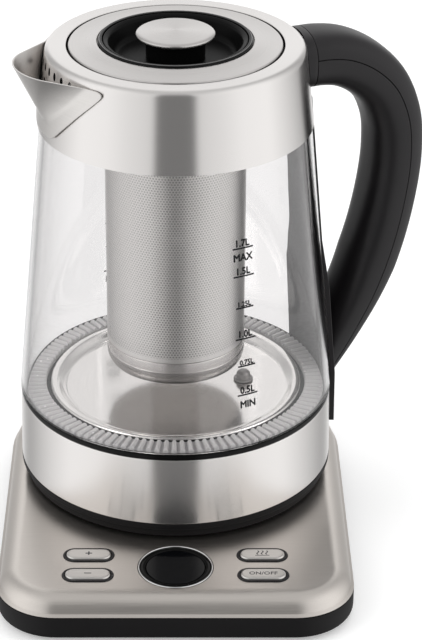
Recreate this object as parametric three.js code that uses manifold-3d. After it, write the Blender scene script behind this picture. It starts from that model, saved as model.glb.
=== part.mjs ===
// Electric tea kettle: a glass jug with steel collar and band, a lift-out infuser under a
// capped lid, and a powered base with four keys round a display. Millimetres, +Z up.
// The origin is on the jug's axis at the flat underside of the base tray; -Y is the key side.
// The jug is modelled with its handle along +X and then turned on the base by jugTurn.
import * as THREE from "three";
import { mergeVertices } from "three/addons/utils/BufferGeometryUtils.js";
import Module from "manifold-3d";

const wasm = await Module();
wasm.setup();

// Shared clearances and counts
const gap = 0.3;
const overrun = 2;
const farReach = 20;
const bigSides = 32;
const midSides = 20;
const smallSides = 10;
const screwSides = 8;
const fullTurn = 2 * Math.PI;
const jugTurn = THREE.MathUtils.degToRad(20);

// Base: plan, tray and cover
const baseHalfWidth = 88;
const baseFront = 134;
const baseBack = 86;
const frontCornerRadius = 30;
const backCornerRadius = 58;
const trayHeight = 13;
const coverHeight = 9.8;
const trayFloor = 2.2;
const trayWall = 3;
const trayUnderRadius = 3.6;
const coverWall = 1.2;
const coverFlank = 1.4;
const coverShoulder = 8.4;
const shoulderShare = 1.15;

// Base: feet and screws, their places as shares of the half-width and of the depth
const footRadius = 8;
const footHeight = 1.6;
const footShares = [[-0.705, -0.806], [0.705, -0.806], [-0.568, 0.605], [0.568, 0.605]];
const screwShares = [[-0.841, -0.522], [0.841, -0.522], [-0.386, 0.79], [0.386, 0.79]];
const screwHeadRadius = 3.2;
const screwHeadHeight = 1.6;
const screwShankRadius = 1.4;
const screwRecess = 0.6;
const screwBite = 5;
const bossRadius = 4.6;
const postRadius = 3.6;

// Base: display
const displayInset = 29.7;
const displayRadius = 18.8;
const trimWidth = 0.9;
const trimProud = 0.5;
const bezelWidth = 2.6;
const bezelProud = 0.3;
const bezelLedge = 2;
const displayDepth = 3.4;
const lensThickness = 2.2;
const moduleSize = 25;

// Base: keys, their frames, switches and board
const keyX = 42.9;
const keyRowSpan = 17.5;
const keyRowShift = 1.55;
const keyLength = 22.4;
const keyWidth = 8.8;
const keyProud = 1.3;
const keyFlange = 1.3;
const keyFlangeHeight = 1.5;
const keyStemRadius = 2.2;
const keyStemLength = 0.5;
const keyTravel = 0.8;
const frameRim = 1.9;
const frameProud = 0.5;
const framePlate = 1.9;
const framePlateMargin = 4;
const boardEndMargin = 13.1;
const boardSideMargin = 6.2;
const boardThickness = 1.6;
const switchSize = 6;
const switchHeight = 3.5;
const standoffRadius = 3;

// Base connector, the jug's contacts that enter it, and the socket that covers it
const contactInner = 9.6;
const contactThickness = 1;
const contactReach = 10.5;
const contactRoom = 1;
const pinRadius = 2.3;
const pinReach = 11;
const bossTopRadius = 15;
const bossHeight = 12;
const slotDepth = 11.5;
const shutterWidth = 4.5;
const shutterHeight = 9;
const cupRoom = 2.6;
const wellRoom = 1.8;
const roofRoom = 3.9;
const connectorDepth = 5;
const connectorFloor = 2;
const connectorFlange = 6;
const connectorLip = 1.7;
const socketWall = 1.8;
const socketLap = 5;
const socketFlangeHeight = 2;

// Base: cord gland
const glandRadius = 4.2;
const glandBore = 2.8;
const glandFlange = 1.4;
const glandLength = 9;
const glandDrop = 5.8;

// Jug: shares of the band's radius, which the widths above and inside it follow
const glassTaperShare = 0.169625;
const collarTaperShare = 0.0525;
const collarRimShare = 0.13625;
const sealRunShare = 0.1175;
const elementShare = 0.375;
const basketShare = 0.44;

// Jug: bottom cover, band, trim ring and glass
const jugLift = 1.4;
const bandRadius = 80;
const bandSpread = 0.8;
const ringHeight = 8.2;
const ringChamfer = 0.6;
const ringStep = 4.4; // the foot under the ring stands back in the shade
const ringRecess = 2;
const bandHeight = 36.5;
const bandWall = 0.9;
const bandLip = 6;
const coverPlate = 2.2;
const coverSpigot = 8;
const spigotWall = 2;
const restRingInset = 7;
const restRingWidth = 3;
const restRingDrop = 1.1;
const trimHeight = 2.6;
const trimRingWidth = 3.1;
const glassWall = 3;
const glassHeight = 148;
const glassTaper = glassTaperShare * bandRadius;

// Jug: collar and its strainer holes
const collarLap = 3.6;
const collarTaper = collarTaperShare * bandRadius;
const collarHeight = 40.2;
const collarFillet = 3.8;
const collarWall = 0.7;
const collarRim = collarRimShare * bandRadius;
const throatDepth = 14;
const sealWidth = 3.2;
const sealHeight = 3;
const strainerHoleRadius = 1;
const strainerPitch = THREE.MathUtils.degToRad(6.6);
const strainerRowHoles = [8, 6];
const strainerRowDrop = 6;
const strainerTopDrop = 6.4;

// Jug: spout
const spoutWall = 1;
const spoutStandOut = 17.3;
const spoutFootInset = 0.3;
const spoutFootLift = 0.03;
const spoutTopDrop = 0.8;
const spoutRimFall = 3.4;
const spoutFootRise = 1.6;
const spoutNoseRadius = 6;
const spoutFlange = THREE.MathUtils.degToRad(0.8);
const spoutFootFlange = THREE.MathUtils.degToRad(6);
const spoutLevels = 6;

// Jug: handle, its bracket and the strip behind it
const handleHalfWidth = 17.2;
const handleHalfDepth = 14;
const handleTipDepth = 9;
const handleTipShare = 0.3;
const handleSeam = 3.2;
const handleStandOut = 43.4;
const handleTopDrop = 15.8;
const handleScrewLength = 10;
const bracketLength = 10.7;
const bracketLap = 2;
const stripThickness = 2.6;
const stripHalfAngle = THREE.MathUtils.degToRad(18.5);
const stripFootRise = 11.8;
const stripRoom = 2.7;
const stripScrewBite = 1.5;
const stripSteps = 4;
const handleSteps = 18;
const sectionPoints = 8;
const sectionPower = 0.78;
// Centre line of the grip from its top to its tip: shares of its stand-out from the bracket,
// and of its height above the band
const gripShares = [
  [0.0046, 1],
  [0.2535, 0.9889],
  [0.5484, 0.9499],
  [0.8018, 0.8847],
  [0.9631, 0.7863],
  [1, 0.6814],
  [0.9631, 0.5649],
  [0.8295, 0.4013],
  [0.6175, 0.2487],
  [0.3387, 0.1136],
  [0.0553, 0],
];

// Jug: heating plate and what hangs under it
const plateSlopeRun = 4.5;
const plateRimWidth = 3;
const plateRise = 4.2;
const plateThickness = 1;
const plateRimProud = 3;
const sealRibs = 50;
const sealStandOff = 1.4;
const sealTop = 2.4;
const sealRibDepth = 0.5;
const spreaderInset = 2;
const spreaderThickness = 2.6;
const elementRadius = elementShare * bandRadius;
const elementTube = 3.6;
const elementTurns = 24;
const elementGap = THREE.MathUtils.degToRad(28);
const probeOffset = 5.45; // further out than the element, in the gap between its ends
const probeAngle = THREE.MathUtils.degToRad(-15.4);
const probeRadius = 3.6;
const probeHeight = 5.5;
const probeFlange = 1.4;
const probeShank = 8;

// Infuser
const basketRadius = basketShare * bandRadius;
const basketWall = 0.6;
const basketLift = 12.5;
const basketCupHeight = 13;
const basketFloor = 0.8;
const sleeveStep = 1;
const sleeveDepth = 12.5;
const infuserRimLap = 1.7;
const infuserRimHeight = 2.2;
const infuserRimSeat = 2.7;

// Infuser cap: well, stem and knob
const capRimLap = 1.1;
const capRimThickness = 2;
const capWall = 1.6;
const capSlopeRun = 4.4;
const capDepth = 9;
const capSealWidth = 1.1;
const capSealHeight = 3;
const stemRadius = 14.5;
const knobRadius = 19.3;
const knobThickness = 2.6;
const knobDome = 0.8;
const knobProud = 0.8;
const capScrewLength = 7;

// Lid
const lidRoom = 0.8;
const lidHoleStep = 0.6;
const lidThickness = 1;
const lidRimDepth = 4.4;
const lidProud = 0.2;
const lidCorner = 0.8;
const infuserRoom = 0.4;
const carrierHeight = 6.3;
const carrierStep = 1.4;
const carrierDepth = 13.5;
const carrierWall = 2.2;
const carrierThroatDepth = 19;
const gasketHeight = 4.6;
const gasketRibShare = 0.25;

// Base levels and places
const deckZ = trayHeight + coverHeight;
const deckUnderZ = deckZ - coverWall;
const displayY = displayInset - baseFront;
const keyRowYs = [1, -1].map((side) => displayY + keyRowShift + (side * keyRowSpan) / 2);
const keyPlaces = [-1, 1].flatMap((side) => keyRowYs.map((y) => [side * keyX, y]));
const footPlaces = footShares.map(basePlace);
const screwPlaces = screwShares.map(basePlace);
const boardLength = 2 * keyX + switchSize + 2 * boardEndMargin;
const boardWidth = keyRowSpan + switchSize + 2 * boardSideMargin;
const glandZ = trayHeight - glandDrop;

// Connector and socket sizes that follow the contacts
const contactOuter = contactInner + contactThickness;
const slotInner = contactInner - contactRoom;
const slotOuter = contactOuter + contactRoom;
const boreRadius = pinRadius + contactRoom;
const socketCup = bossTopRadius + gap + shutterWidth + cupRoom;
const socketHole = socketCup + socketWall + wellRoom;
const socketFlange = socketHole + socketLap;
const socketRoof = bossHeight - jugLift + roofRoom;
const wellFloorZ = deckZ - connectorDepth;
const bossTopZ = deckZ + bossHeight;

// Jug heights, above the jug's own underside, and the radii that follow them
const bandTopZ = ringHeight + bandHeight;
const trimTopZ = bandTopZ + gap + trimHeight;
const glassLowZ = trimTopZ + gap;
const glassTopZ = glassLowZ + glassHeight;
const collarLowZ = glassTopZ - collarLap;
const collarTopZ = collarLowZ + collarHeight;
const glassRadiusAt = (z) => bandRadius + gap - ((z - glassLowZ) * glassTaper) / glassHeight;
const collarBottomRadius = glassRadiusAt(collarLowZ) + gap + collarWall;
const collarTopRadius = collarBottomRadius - collarTaper;
const collarSlope = collarTaper / (collarHeight - collarFillet);
const collarRadiusAt = (z) => collarBottomRadius - (z - collarLowZ) * collarSlope;
const throatRadius = collarTopRadius - collarRim;

// Infuser, cap and lid radii, from the basket outwards
const sleeveBore = basketRadius - basketWall;
const sleeveRadius = basketRadius + sleeveStep;
const infuserRimRadius = sleeveRadius + infuserRimLap;
const capBody = sleeveBore - gap;
const capRimRadius = capBody + capRimLap;
const capFloorRadius = capBody - capSlopeRun;
const infuserRimBore = capRimRadius + gap;
const throatHoleRadius = sleeveRadius + infuserRoom;
const lidHole = throatHoleRadius + lidHoleStep;
const lidRadius = throatRadius - lidRoom;
const carrierRadius = lidRadius - lidThickness - gap;
const carrierSpigot = carrierRadius - carrierStep;
const gasketReach = throatRadius - gap;

// Materials, in the photograph's colours
const finish = {
  brushedSteel: { color: "#c9c8c4", roughness: 0.32, metalness: 1 },
  warmSteel: { color: "#b7b3ac", roughness: 0.36, metalness: 1 },
  blackPlastic: { color: "#2b292b", roughness: 0.45, metalness: 0 },
  softBlack: { color: "#1d1c1d", roughness: 0.8, metalness: 0 },
  glass: { color: "#eef3f2", roughness: 0.03, metalness: 0, transparent: true, opacity: 0.25 },
  silicone: { color: "#e4e6e4", roughness: 0.4, metalness: 0, transparent: true, opacity: 0.6 },
  lens: { color: "#08090d", roughness: 0.06, metalness: 0 },
  chrome: { color: "#dcdcdc", roughness: 0.12, metalness: 1 },
  aluminium: { color: "#b9bbbd", roughness: 0.5, metalness: 1 },
  brass: { color: "#c2a25a", roughness: 0.35, metalness: 1 },
  board: { color: "#1f5a3a", roughness: 0.6, metalness: 0 },
};

// Welds a geometry, drops its empty triangles and turns its faces outwards
function closed(source) {
  const bare = new THREE.BufferGeometry();
  bare.setAttribute("position", source.getAttribute("position"));
  if (source.index) bare.setIndex(source.index);
  const welded = mergeVertices(bare, 1e-4);
  const place = welded.getAttribute("position");
  const corners = [0, 1, 2].map(() => new THREE.Vector3());
  const kept = [];
  let volume = 0;
  for (let i = 0; i < welded.index.count; i += 3) {
    const triangle = [0, 1, 2].map((n) => welded.index.getX(i + n));
    if (new Set(triangle).size < 3) continue;
    triangle.forEach((v, n) => corners[n].fromBufferAttribute(place, v));
    volume += corners[0].dot(corners[1].clone().cross(corners[2]));
    kept.push(triangle);
  }
  if (volume < 0) kept.forEach((triangle) => triangle.reverse());
  welded.setIndex(kept.flat());
  return welded;
}

// Joins and cuts, through manifold-3d
function toSolid(geometry) {
  const clean = closed(geometry);
  const vertProperties = new Float32Array(clean.getAttribute("position").array);
  const triVerts = new Uint32Array(clean.index.array);
  return new wasm.Manifold(new wasm.Mesh({ numProp: 3, vertProperties, triVerts }));
}

function fromSolid(solid) {
  const mesh = solid.getMesh();
  const geometry = new THREE.BufferGeometry();
  geometry.setAttribute("position", new THREE.BufferAttribute(mesh.vertProperties, 3));
  geometry.setIndex(new THREE.BufferAttribute(mesh.triVerts, 1));
  return geometry;
}

function cut(geometry, ...tools) {
  const solid = tools.reduce((left, tool) => left.subtract(toSolid(tool)), toSolid(geometry));
  return fromSolid(solid);
}

function join(...geometries) {
  const solid = geometries.map(toSolid).reduce((left, right) => left.add(right));
  return fromSolid(solid);
}

// A solid of revolution about Z from a closed outline of [radius, height] points
function turned(outline, sides) {
  const points = outline.map(([radius, height]) => new THREE.Vector2(radius, height));
  const onAxis = outline[0][0] === 0 && outline.at(-1)[0] === 0;
  if (!onAxis) points.push(points[0].clone());
  return closed(new THREE.LatheGeometry(points, sides).rotateX(Math.PI / 2));
}

function tube(inner, outer, low, high, sides) {
  return turned([[inner, low], [outer, low], [outer, high], [inner, high]], sides);
}

function disc(radius, low, high, sides) {
  return turned([[0, low], [radius, low], [radius, high], [0, high]], sides);
}

function block(width, depth, low, high) {
  return new THREE.BoxGeometry(width, depth, high - low).translate(0, 0, (low + high) / 2);
}

// A solid skinned over rings of equal point counts. Each end is closed by a strip that runs
// between the ring's two halves, so a ring is convex or a thin band, outside first.
function lofted(rings) {
  const size = rings[0].length;
  const index = [];
  const quad = (a, b, c, d) => index.push(a, b, c, a, c, d);
  for (let start = 0; start < (rings.length - 1) * size; start += size) {
    for (let i = 0; i < size; i += 1) {
      const next = (i + 1) % size;
      quad(start + i, start + next, start + next + size, start + i + size);
    }
  }
  const last = (rings.length - 1) * size;
  for (let i = 0; 2 * i < size - 2; i += 1) {
    quad(size - 1 - i, size - 2 - i, i + 1, i);
    quad(last + i, last + i + 1, last + size - 2 - i, last + size - 1 - i);
  }
  const geometry = new THREE.BufferGeometry();
  geometry.setAttribute("position", new THREE.Float32BufferAttribute(rings.flat(2), 3));
  geometry.setIndex(index);
  return closed(geometry);
}

// The base's plan, drawn in by an inset: two front corners, and two wider ones behind
function basePlan(inset) {
  const corners = [
    [1, -1, frontCornerRadius, 4],
    [1, 1, backCornerRadius, 6],
    [-1, 1, backCornerRadius, 6],
    [-1, -1, frontCornerRadius, 4],
  ];
  const points = [];
  corners.forEach(([sideX, sideY, radius, steps], corner) => {
    const reachY = sideY < 0 ? baseFront : baseBack;
    const centreX = sideX * (baseHalfWidth - radius);
    const centreY = sideY * (reachY - radius);
    for (let i = 0; i <= steps; i += 1) {
      const angle = ((corner - 1 + i / steps) * Math.PI) / 2;
      points.push([
        centreX + (radius - inset) * Math.cos(angle),
        centreY + (radius - inset) * Math.sin(angle),
      ]);
    }
  });
  return points;
}

function planLoft(levels) {
  return lofted(levels.map(([inset, height]) => basePlan(inset).map(([x, y]) => [x, y, height])));
}

function basePlace([shareX, shareY]) {
  return [shareX * baseHalfWidth, shareY * (shareY < 0 ? baseFront : baseBack)];
}

function at(geometry, x, y) {
  return geometry.clone().translate(x, y, 0);
}

const standoffPlaces = [-1, 1].flatMap((sideX) => [-1, 1].map((sideY) => [
  sideX * (boardLength / 2 - standoffRadius),
  displayY + sideY * (boardWidth / 2 - standoffRadius),
]));
const switchTopZ = deckUnderZ - gap - framePlate - gap - keyFlangeHeight - keyStemLength
  - keyTravel - gap;
const boardTopZ = switchTopZ - switchHeight;
const boardLowZ = boardTopZ - boardThickness;

function baseTray() {
  const shell = planLoft([
    [trayUnderRadius, 0],
    [trayUnderRadius / 3, trayUnderRadius / 3],
    [gap, trayUnderRadius],
    [0, trayHeight - gap],
  ]);
  const hollow = planLoft([
    [trayUnderRadius + trayWall, trayFloor],
    [trayWall, trayFloor + trayUnderRadius],
    [trayWall, trayHeight + overrun],
  ]);
  const bosses = screwPlaces.map(([x, y]) => at(
    disc(bossRadius, trayFloor / 2, trayHeight - trayFloor, screwSides), x, y));
  const standoffs = standoffPlaces.map(([x, y]) => at(
    disc(standoffRadius, trayFloor / 2, boardLowZ - gap, screwSides), x, y));
  const headHoles = screwPlaces.map(([x, y]) => at(
    disc(screwHeadRadius + gap, -overrun, screwRecess + screwHeadHeight + gap, screwSides), x, y));
  const shankHoles = screwPlaces.map(([x, y]) => at(
    disc(screwShankRadius + gap, -overrun, trayHeight, screwSides), x, y));
  const glandHole = disc(glandRadius + gap, 0, trayUnderRadius + trayWall + 2 * overrun, smallSides)
    .rotateX(-Math.PI / 2)
    .translate(0, baseBack - trayUnderRadius - trayWall - overrun, glandZ);
  return cut(join(cut(shell, hollow), ...bosses, ...standoffs), ...headHoles, ...shankHoles, glandHole);
}

// A flat pill outline, longer along X
function pill(length, width) {
  const radius = width / 2;
  const reach = length / 2 - radius;
  const shape = new THREE.Shape();
  shape.absarc(reach, 0, radius, -Math.PI / 2, Math.PI / 2);
  shape.absarc(-reach, 0, radius, Math.PI / 2, 1.5 * Math.PI);
  return shape;
}

function pillSolid(length, width, low, high) {
  const options = { depth: high - low, bevelEnabled: false, curveSegments: smallSides / 2 };
  return closed(new THREE.ExtrudeGeometry(pill(length, width), options).translate(0, 0, low));
}

function coverPosts() {
  const low = trayHeight - trayFloor + gap;
  const post = disc(postRadius, low, deckUnderZ + coverWall / 2, screwSides);
  return screwPlaces.map(([x, y]) => at(post, x, y));
}

function baseCover() {
  const wallTop = deckZ - coverShoulder;
  const shoulder = (drawn, lift) => [0, 1, 2, 3].map((step) => {
    const angle = (step * Math.PI) / 6;
    return [
      coverFlank + drawn + coverShoulder * shoulderShare * (1 - Math.cos(angle)),
      wallTop - lift + coverShoulder * Math.sin(angle),
    ];
  });
  const outer = planLoft([[0, trayHeight], ...shoulder(0, 0)]);
  const inner = planLoft([[coverWall, trayHeight - overrun], ...shoulder(coverWall, coverWall)]);
  const holes = keyPlaces.map(([x, y]) => at(
    pillSolid(keyLength + 2 * (frameRim + 2 * gap), keyWidth + 2 * (frameRim + 2 * gap) - gap,
      trayHeight, deckZ + overrun), x, y));
  const displayHole = at(disc(displayRadius, trayHeight, deckZ + overrun, midSides), 0, displayY);
  const connectorHole = disc(socketHole + connectorLip + gap, trayHeight, deckZ + overrun, midSides);
  const shankHoles = screwPlaces.map(([x, y]) => at(
    disc(screwShankRadius + gap, 0, trayHeight - trayFloor + screwBite, screwSides), x, y));
  return cut(join(cut(outer, inner), ...coverPosts()), ...holes, displayHole, connectorHole, ...shankHoles);
}

function foot() {
  return turned([
    [0, -footHeight],
    [footRadius - footHeight / 2, -footHeight],
    [footRadius, 0],
    [0, 0],
  ], smallSides);
}

function baseScrew() {
  const headLow = screwRecess;
  const headTop = screwRecess + screwHeadHeight;
  const tip = trayHeight - trayFloor + screwBite - gap;
  return turned([
    [0, headLow],
    [screwHeadRadius, headLow],
    [screwHeadRadius, headTop],
    [screwShankRadius, headTop],
    [screwShankRadius, tip],
    [0, tip],
  ], screwSides);
}

function displayTrim() {
  const outer = displayRadius - gap;
  return turned([
    [outer - trimWidth, deckZ - displayDepth],
    [outer, deckZ - displayDepth],
    [outer, deckZ + trimProud / 2],
    [outer - trimWidth / 2, deckZ + trimProud],
    [outer - trimWidth, deckZ + trimProud / 2],
  ], midSides);
}

const bezelOuter = displayRadius - trimWidth - 2 * gap;
const lensRadius = bezelOuter - bezelWidth - gap;

function displayBezel() {
  return turned([
    [lensRadius - bezelLedge, deckZ - displayDepth],
    [bezelOuter, deckZ - displayDepth],
    [bezelOuter, deckZ],
    [bezelOuter - bezelWidth / 2, deckZ + bezelProud],
    [lensRadius + gap, deckZ],
    [lensRadius + gap, deckZ - lensThickness - gap],
    [lensRadius - bezelLedge, deckZ - lensThickness - gap],
  ], midSides);
}

function displayLens() {
  return disc(lensRadius, deckZ - lensThickness, deckZ, midSides);
}

function displayModule() {
  return block(moduleSize, moduleSize, boardTopZ + gap, deckZ - displayDepth - gap);
}

function controlBoard() {
  return block(boardLength, boardWidth, boardLowZ, boardTopZ);
}

function tactSwitch() {
  return block(switchSize, switchSize, boardTopZ, switchTopZ);
}

// One frame carries two keys: a plate under the deck with a raised rim round each key
function keyFrame() {
  const plateTop = deckUnderZ - gap;
  const plateLow = plateTop - framePlate;
  const middleY = (keyRowYs[0] + keyRowYs[1]) / 2;
  const rowSpan = keyRowYs[0] - keyRowYs[1];
  const plateLength = keyLength + 2 * (frameRim + framePlateMargin);
  const plateDepth = rowSpan + keyWidth + 2 * (frameRim + gap) + framePlateMargin / 2;
  const plate = block(plateLength, plateDepth, plateLow, plateTop);
  const rims = keyRowYs.map((y) => at(
    pillSolid(keyLength + 2 * (frameRim + gap), keyWidth + 2 * (frameRim + gap) - gap,
      plateTop - framePlate / 2, deckZ + frameProud), 0, y - middleY));
  const holes = keyRowYs.map((y) => at(
    pillSolid(keyLength + 2 * gap, keyWidth + 2 * gap, plateLow - overrun, deckZ + overrun),
    0, y - middleY));
  return at(cut(join(plate, ...rims), ...holes), 0, middleY);
}

function key() {
  const flangeTop = deckUnderZ - gap - framePlate - gap;
  const flangeLow = flangeTop - keyFlangeHeight;
  const top = deckZ + keyProud;
  const flange = pillSolid(keyLength + 2 * keyFlange, keyWidth + 2 * keyFlange, flangeLow, flangeTop);
  const cap = pillSolid(keyLength, keyWidth, flangeLow + keyFlangeHeight / 2, top);
  const stem = disc(keyStemRadius, flangeLow - keyStemLength, flangeTop, screwSides);
  return join(flange, cap, stem);
}

function baseConnector() {
  const plateTop = deckUnderZ - gap;
  return turned([
    [0, wellFloorZ - connectorFloor],
    [socketHole + connectorFlange, wellFloorZ - connectorFloor],
    [socketHole + connectorFlange, plateTop],
    [socketHole + connectorLip, plateTop],
    [socketHole + connectorLip, deckZ + gap],
    [socketHole, deckZ + gap],
    [socketHole, wellFloorZ],
    [bossTopRadius, wellFloorZ],
    [bossTopRadius, bossTopZ],
    [slotOuter, bossTopZ],
    [slotOuter, bossTopZ - slotDepth],
    [slotInner, bossTopZ - slotDepth],
    [slotInner, bossTopZ],
    [boreRadius, bossTopZ],
    [boreRadius, bossTopZ - slotDepth],
    [0, bossTopZ - slotDepth],
  ], midSides);
}

function connectorShutter() {
  const inner = bossTopRadius + gap;
  const low = wellFloorZ + gap;
  return turned([
    [inner, low],
    [inner + shutterWidth, low],
    [inner + shutterWidth, low + shutterHeight - shutterWidth / 2],
    [inner + shutterWidth / 2, low + shutterHeight],
    [inner, low + shutterHeight],
  ], midSides);
}

function cordGland() {
  return turned([
    [glandBore, -glandLength],
    [glandRadius, -glandLength],
    [glandRadius, 0],
    [glandRadius + glandFlange, 0],
    [glandRadius + glandFlange / 2, glandFlange],
    [glandBore, glandFlange],
  ], smallSides)
    .rotateX(-Math.PI / 2)
    .translate(0, baseBack + gap, glandZ);
}

function bottomCover() {
  const floorLow = jugLift;
  const floorTop = floorLow + coverPlate;
  const spigotOuter = bandRadius + bandSpread - bandWall - 2 * gap;
  const restRing = bandRadius - restRingInset;
  return turned([
    [socketHole, floorLow],
    [restRing - restRingWidth, floorLow],
    [restRing - restRingWidth, -restRingDrop],
    [restRing, -restRingDrop],
    [restRing, 0],
    [bandRadius + bandSpread - ringRecess, 0],
    [bandRadius + bandSpread - ringRecess, ringStep],
    [bandRadius + bandSpread - ringChamfer, ringStep],
    [bandRadius + bandSpread, ringStep + ringChamfer],
    [bandRadius + bandSpread, ringHeight - gap],
    [spigotOuter, ringHeight - gap],
    [spigotOuter, ringHeight + coverSpigot],
    [spigotOuter - spigotWall, ringHeight + coverSpigot],
    [spigotOuter - spigotWall, floorTop],
    [socketHole, floorTop],
  ], bigSides);
}

function lowerBand() {
  const band = turned([
    [bandRadius + bandSpread - bandWall, ringHeight],
    [bandRadius + bandSpread, ringHeight],
    [bandRadius, bandTopZ],
    [bandRadius - bandLip, bandTopZ],
    [bandRadius - bandLip, bandTopZ - bandWall],
    [bandRadius - bandWall, bandTopZ - bandWall],
  ], bigSides);
  return cut(band, stripScrewHole());
}

function trimRing() {
  const low = bandTopZ + gap;
  return tube(bandRadius - trimRingWidth, bandRadius + gap / 2, low, trimTopZ, bigSides);
}

function glassJug() {
  return turned([
    [glassRadiusAt(glassLowZ) - glassWall, glassLowZ],
    [glassRadiusAt(glassLowZ), glassLowZ],
    [glassRadiusAt(glassTopZ), glassTopZ],
    [glassRadiusAt(glassTopZ) - glassWall, glassTopZ],
  ], bigSides);
}

function upperSeal() {
  const outer = glassRadiusAt(glassTopZ) - gap;
  const low = glassTopZ + gap;
  return tube(outer - sealWidth, outer, low, low + sealHeight, bigSides);
}

function strainerHoles() {
  const holes = [];
  strainerRowHoles.forEach((count, row) => {
    const z = collarTopZ - strainerTopDrop - row * strainerRowDrop;
    for (let i = 0; i < count; i += 1) {
      const angle = Math.PI + (i - (count - 1) / 2) * strainerPitch;
      holes.push(disc(strainerHoleRadius, -overrun, overrun + collarWall, 6)
        .rotateY(Math.PI / 2)
        .translate(collarRadiusAt(z) - collarWall, 0, z)
        .rotateZ(angle));
    }
  });
  return holes;
}

function collar() {
  const top = collarTopZ;
  const fillet = (radius, edge, lid) => [1, 2, 3].map((step) => {
    const angle = (step * Math.PI) / 6;
    return [edge - radius * (1 - Math.cos(angle)), lid - radius * (1 - Math.sin(angle))];
  });
  const body = turned([
    [collarBottomRadius - collarWall, collarLowZ],
    [collarBottomRadius, collarLowZ],
    [collarTopRadius, top - collarFillet],
    ...fillet(collarFillet, collarTopRadius, top),
    [throatRadius, top],
    [throatRadius, top - throatDepth],
    [throatRadius + collarWall, top - throatDepth],
    [throatRadius + collarWall, top - collarWall],
    ...fillet(collarFillet - collarWall, collarTopRadius - collarWall, top - collarWall).reverse(),
    [collarTopRadius - collarWall, top - collarFillet],
  ], bigSides);
  return cut(body, ...strainerHoles(), gripScrewHole());
}

// Spout: a bent sheet, V-shaped in plan, that leaves the collar along its tangents.
// Level 0 is the foot of the V and level 1 its rim.
function spoutSection(level, side) {
  const keelZ = collarTopZ - spoutTopDrop - (collarHeight - spoutFootRise) * (1 - level);
  const wallZ = keelZ - spoutRimFall * level;
  const seat = collarRadiusAt(Math.min(wallZ, collarTopZ - collarFillet)) + 2 * gap + spoutWall / 2;
  const straight = collarTopRadius - spoutFootInset + (spoutStandOut + spoutFootInset) * level;
  const reach = Math.max(straight, seat + spoutFootLift);
  const nose = spoutNoseRadius;
  const noseX = reach - nose;
  const tangent = Math.acos((seat - nose) / noseX);
  const offset = side * (spoutWall / 2);
  const half = [];
  const noseSteps = 4;
  for (let i = 0; i <= noseSteps; i += 1) {
    const angle = (tangent * i) / noseSteps;
    half.push([
      noseX + (nose + offset) * Math.cos(angle),
      (nose + offset) * Math.sin(angle),
    ]);
  }
  const [startX, startY] = half.at(-1);
  const endX = (seat + offset) * Math.cos(tangent);
  const endY = (seat + offset) * Math.sin(tangent);
  for (const share of [0.5, 1]) {
    half.push([startX + (endX - startX) * share, startY + (endY - startY) * share]);
  }
  const last = tangent + spoutFlange + spoutFootFlange * (1 - level) ** 2;
  half.push([(seat + offset) * Math.cos(last), (seat + offset) * Math.sin(last)]);
  const lastX = half.at(-1)[0];
  const whole = [...half.slice(1).reverse().map(([x, y]) => [x, -y]), ...half];
  const tipX = half[0][0];
  return whole.map(([x, y]) => {
    const share = tipX - lastX > gap ? (tipX - x) / (tipX - lastX) : 0;
    return [-x, -y, keelZ + (wallZ - keelZ) * share];
  });
}

function spout() {
  const rings = [];
  for (let i = 0; i <= spoutLevels; i += 1) {
    const level = i / spoutLevels;
    rings.push([...spoutSection(level, 1), ...spoutSection(level, -1).reverse()]);
  }
  return lofted(rings);
}

// Handle: one half of a rounded section, swept along the grip line
const gripTopZ = collarTopZ - handleTopDrop;
const gripLowZ = bandTopZ + gap;
const bracketReach = collarTopRadius + bracketLength;
const stripBottom = ringHeight + stripFootRise;
const stripTop = gripTopZ - handleHalfDepth - stripRoom;
const gripCurve = new THREE.CatmullRomCurve3(gripShares.map(([shareOut, shareUp]) => new THREE.Vector3(
  bracketReach + shareOut * handleStandOut, 0, gripLowZ + shareUp * (gripTopZ - gripLowZ),
)), false, "centripetal");

function gripSection(share, outerHalf) {
  const centre = gripCurve.getPointAt(share);
  const along = gripCurve.getTangentAt(share);
  const outward = new THREE.Vector3(-along.z, 0, along.x);
  const taper = Math.max(0, (share - (1 - handleTipShare)) / handleTipShare);
  const depth = handleHalfDepth + (handleTipDepth - handleHalfDepth) * taper;
  const seam = Math.asin(Math.min(1, (handleSeam / depth) ** (1 / sectionPower)));
  const from = outerHalf ? seam : -Math.PI - seam;
  const to = outerHalf ? Math.PI - seam : seam;
  const shift = outerHalf ? 0 : gap;
  const points = [];
  for (let i = 0; i <= sectionPoints; i += 1) {
    const angle = from + ((to - from) * i) / sectionPoints;
    const cos = Math.cos(angle);
    const sin = Math.sin(angle);
    const across = handleHalfWidth * Math.sign(cos) * Math.abs(cos) ** sectionPower;
    const out = depth * Math.sign(sin) * Math.abs(sin) ** sectionPower - shift;
    points.push([centre.x + outward.x * out, across, centre.z + outward.z * out]);
  }
  return points;
}

// The strip's inner face drawn out by an offset: what stands on the strip is cut by it
function stripFace(offset) {
  return [
    [bandRadius + bandSpread + gap, -farReach],
    [bandRadius + 2 * gap, glassLowZ],
    [collarBottomRadius + gap, collarLowZ],
    [collarRadiusAt(collarTopZ) + gap, collarTopZ + farReach],
  ].map(([radius, z]) => [radius + offset, z]);
}

function handleHalf(outerHalf) {
  const rings = [];
  for (let i = 0; i <= handleSteps; i += 1) rings.push(gripSection(i / handleSteps, outerHalf));
  const sweep = lofted(rings);
  const face = stripFace(stripThickness + gap);
  const core = turned([[0, face[0][1]], ...face, [0, face.at(-1)[1]]], bigSides);
  const start = block(bracketReach + gap, 4 * handleHalfWidth, stripTop, collarTopZ + farReach)
    .translate((bracketReach + gap) / 2, 0, 0);
  return cut(sweep, core, start);
}

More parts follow.
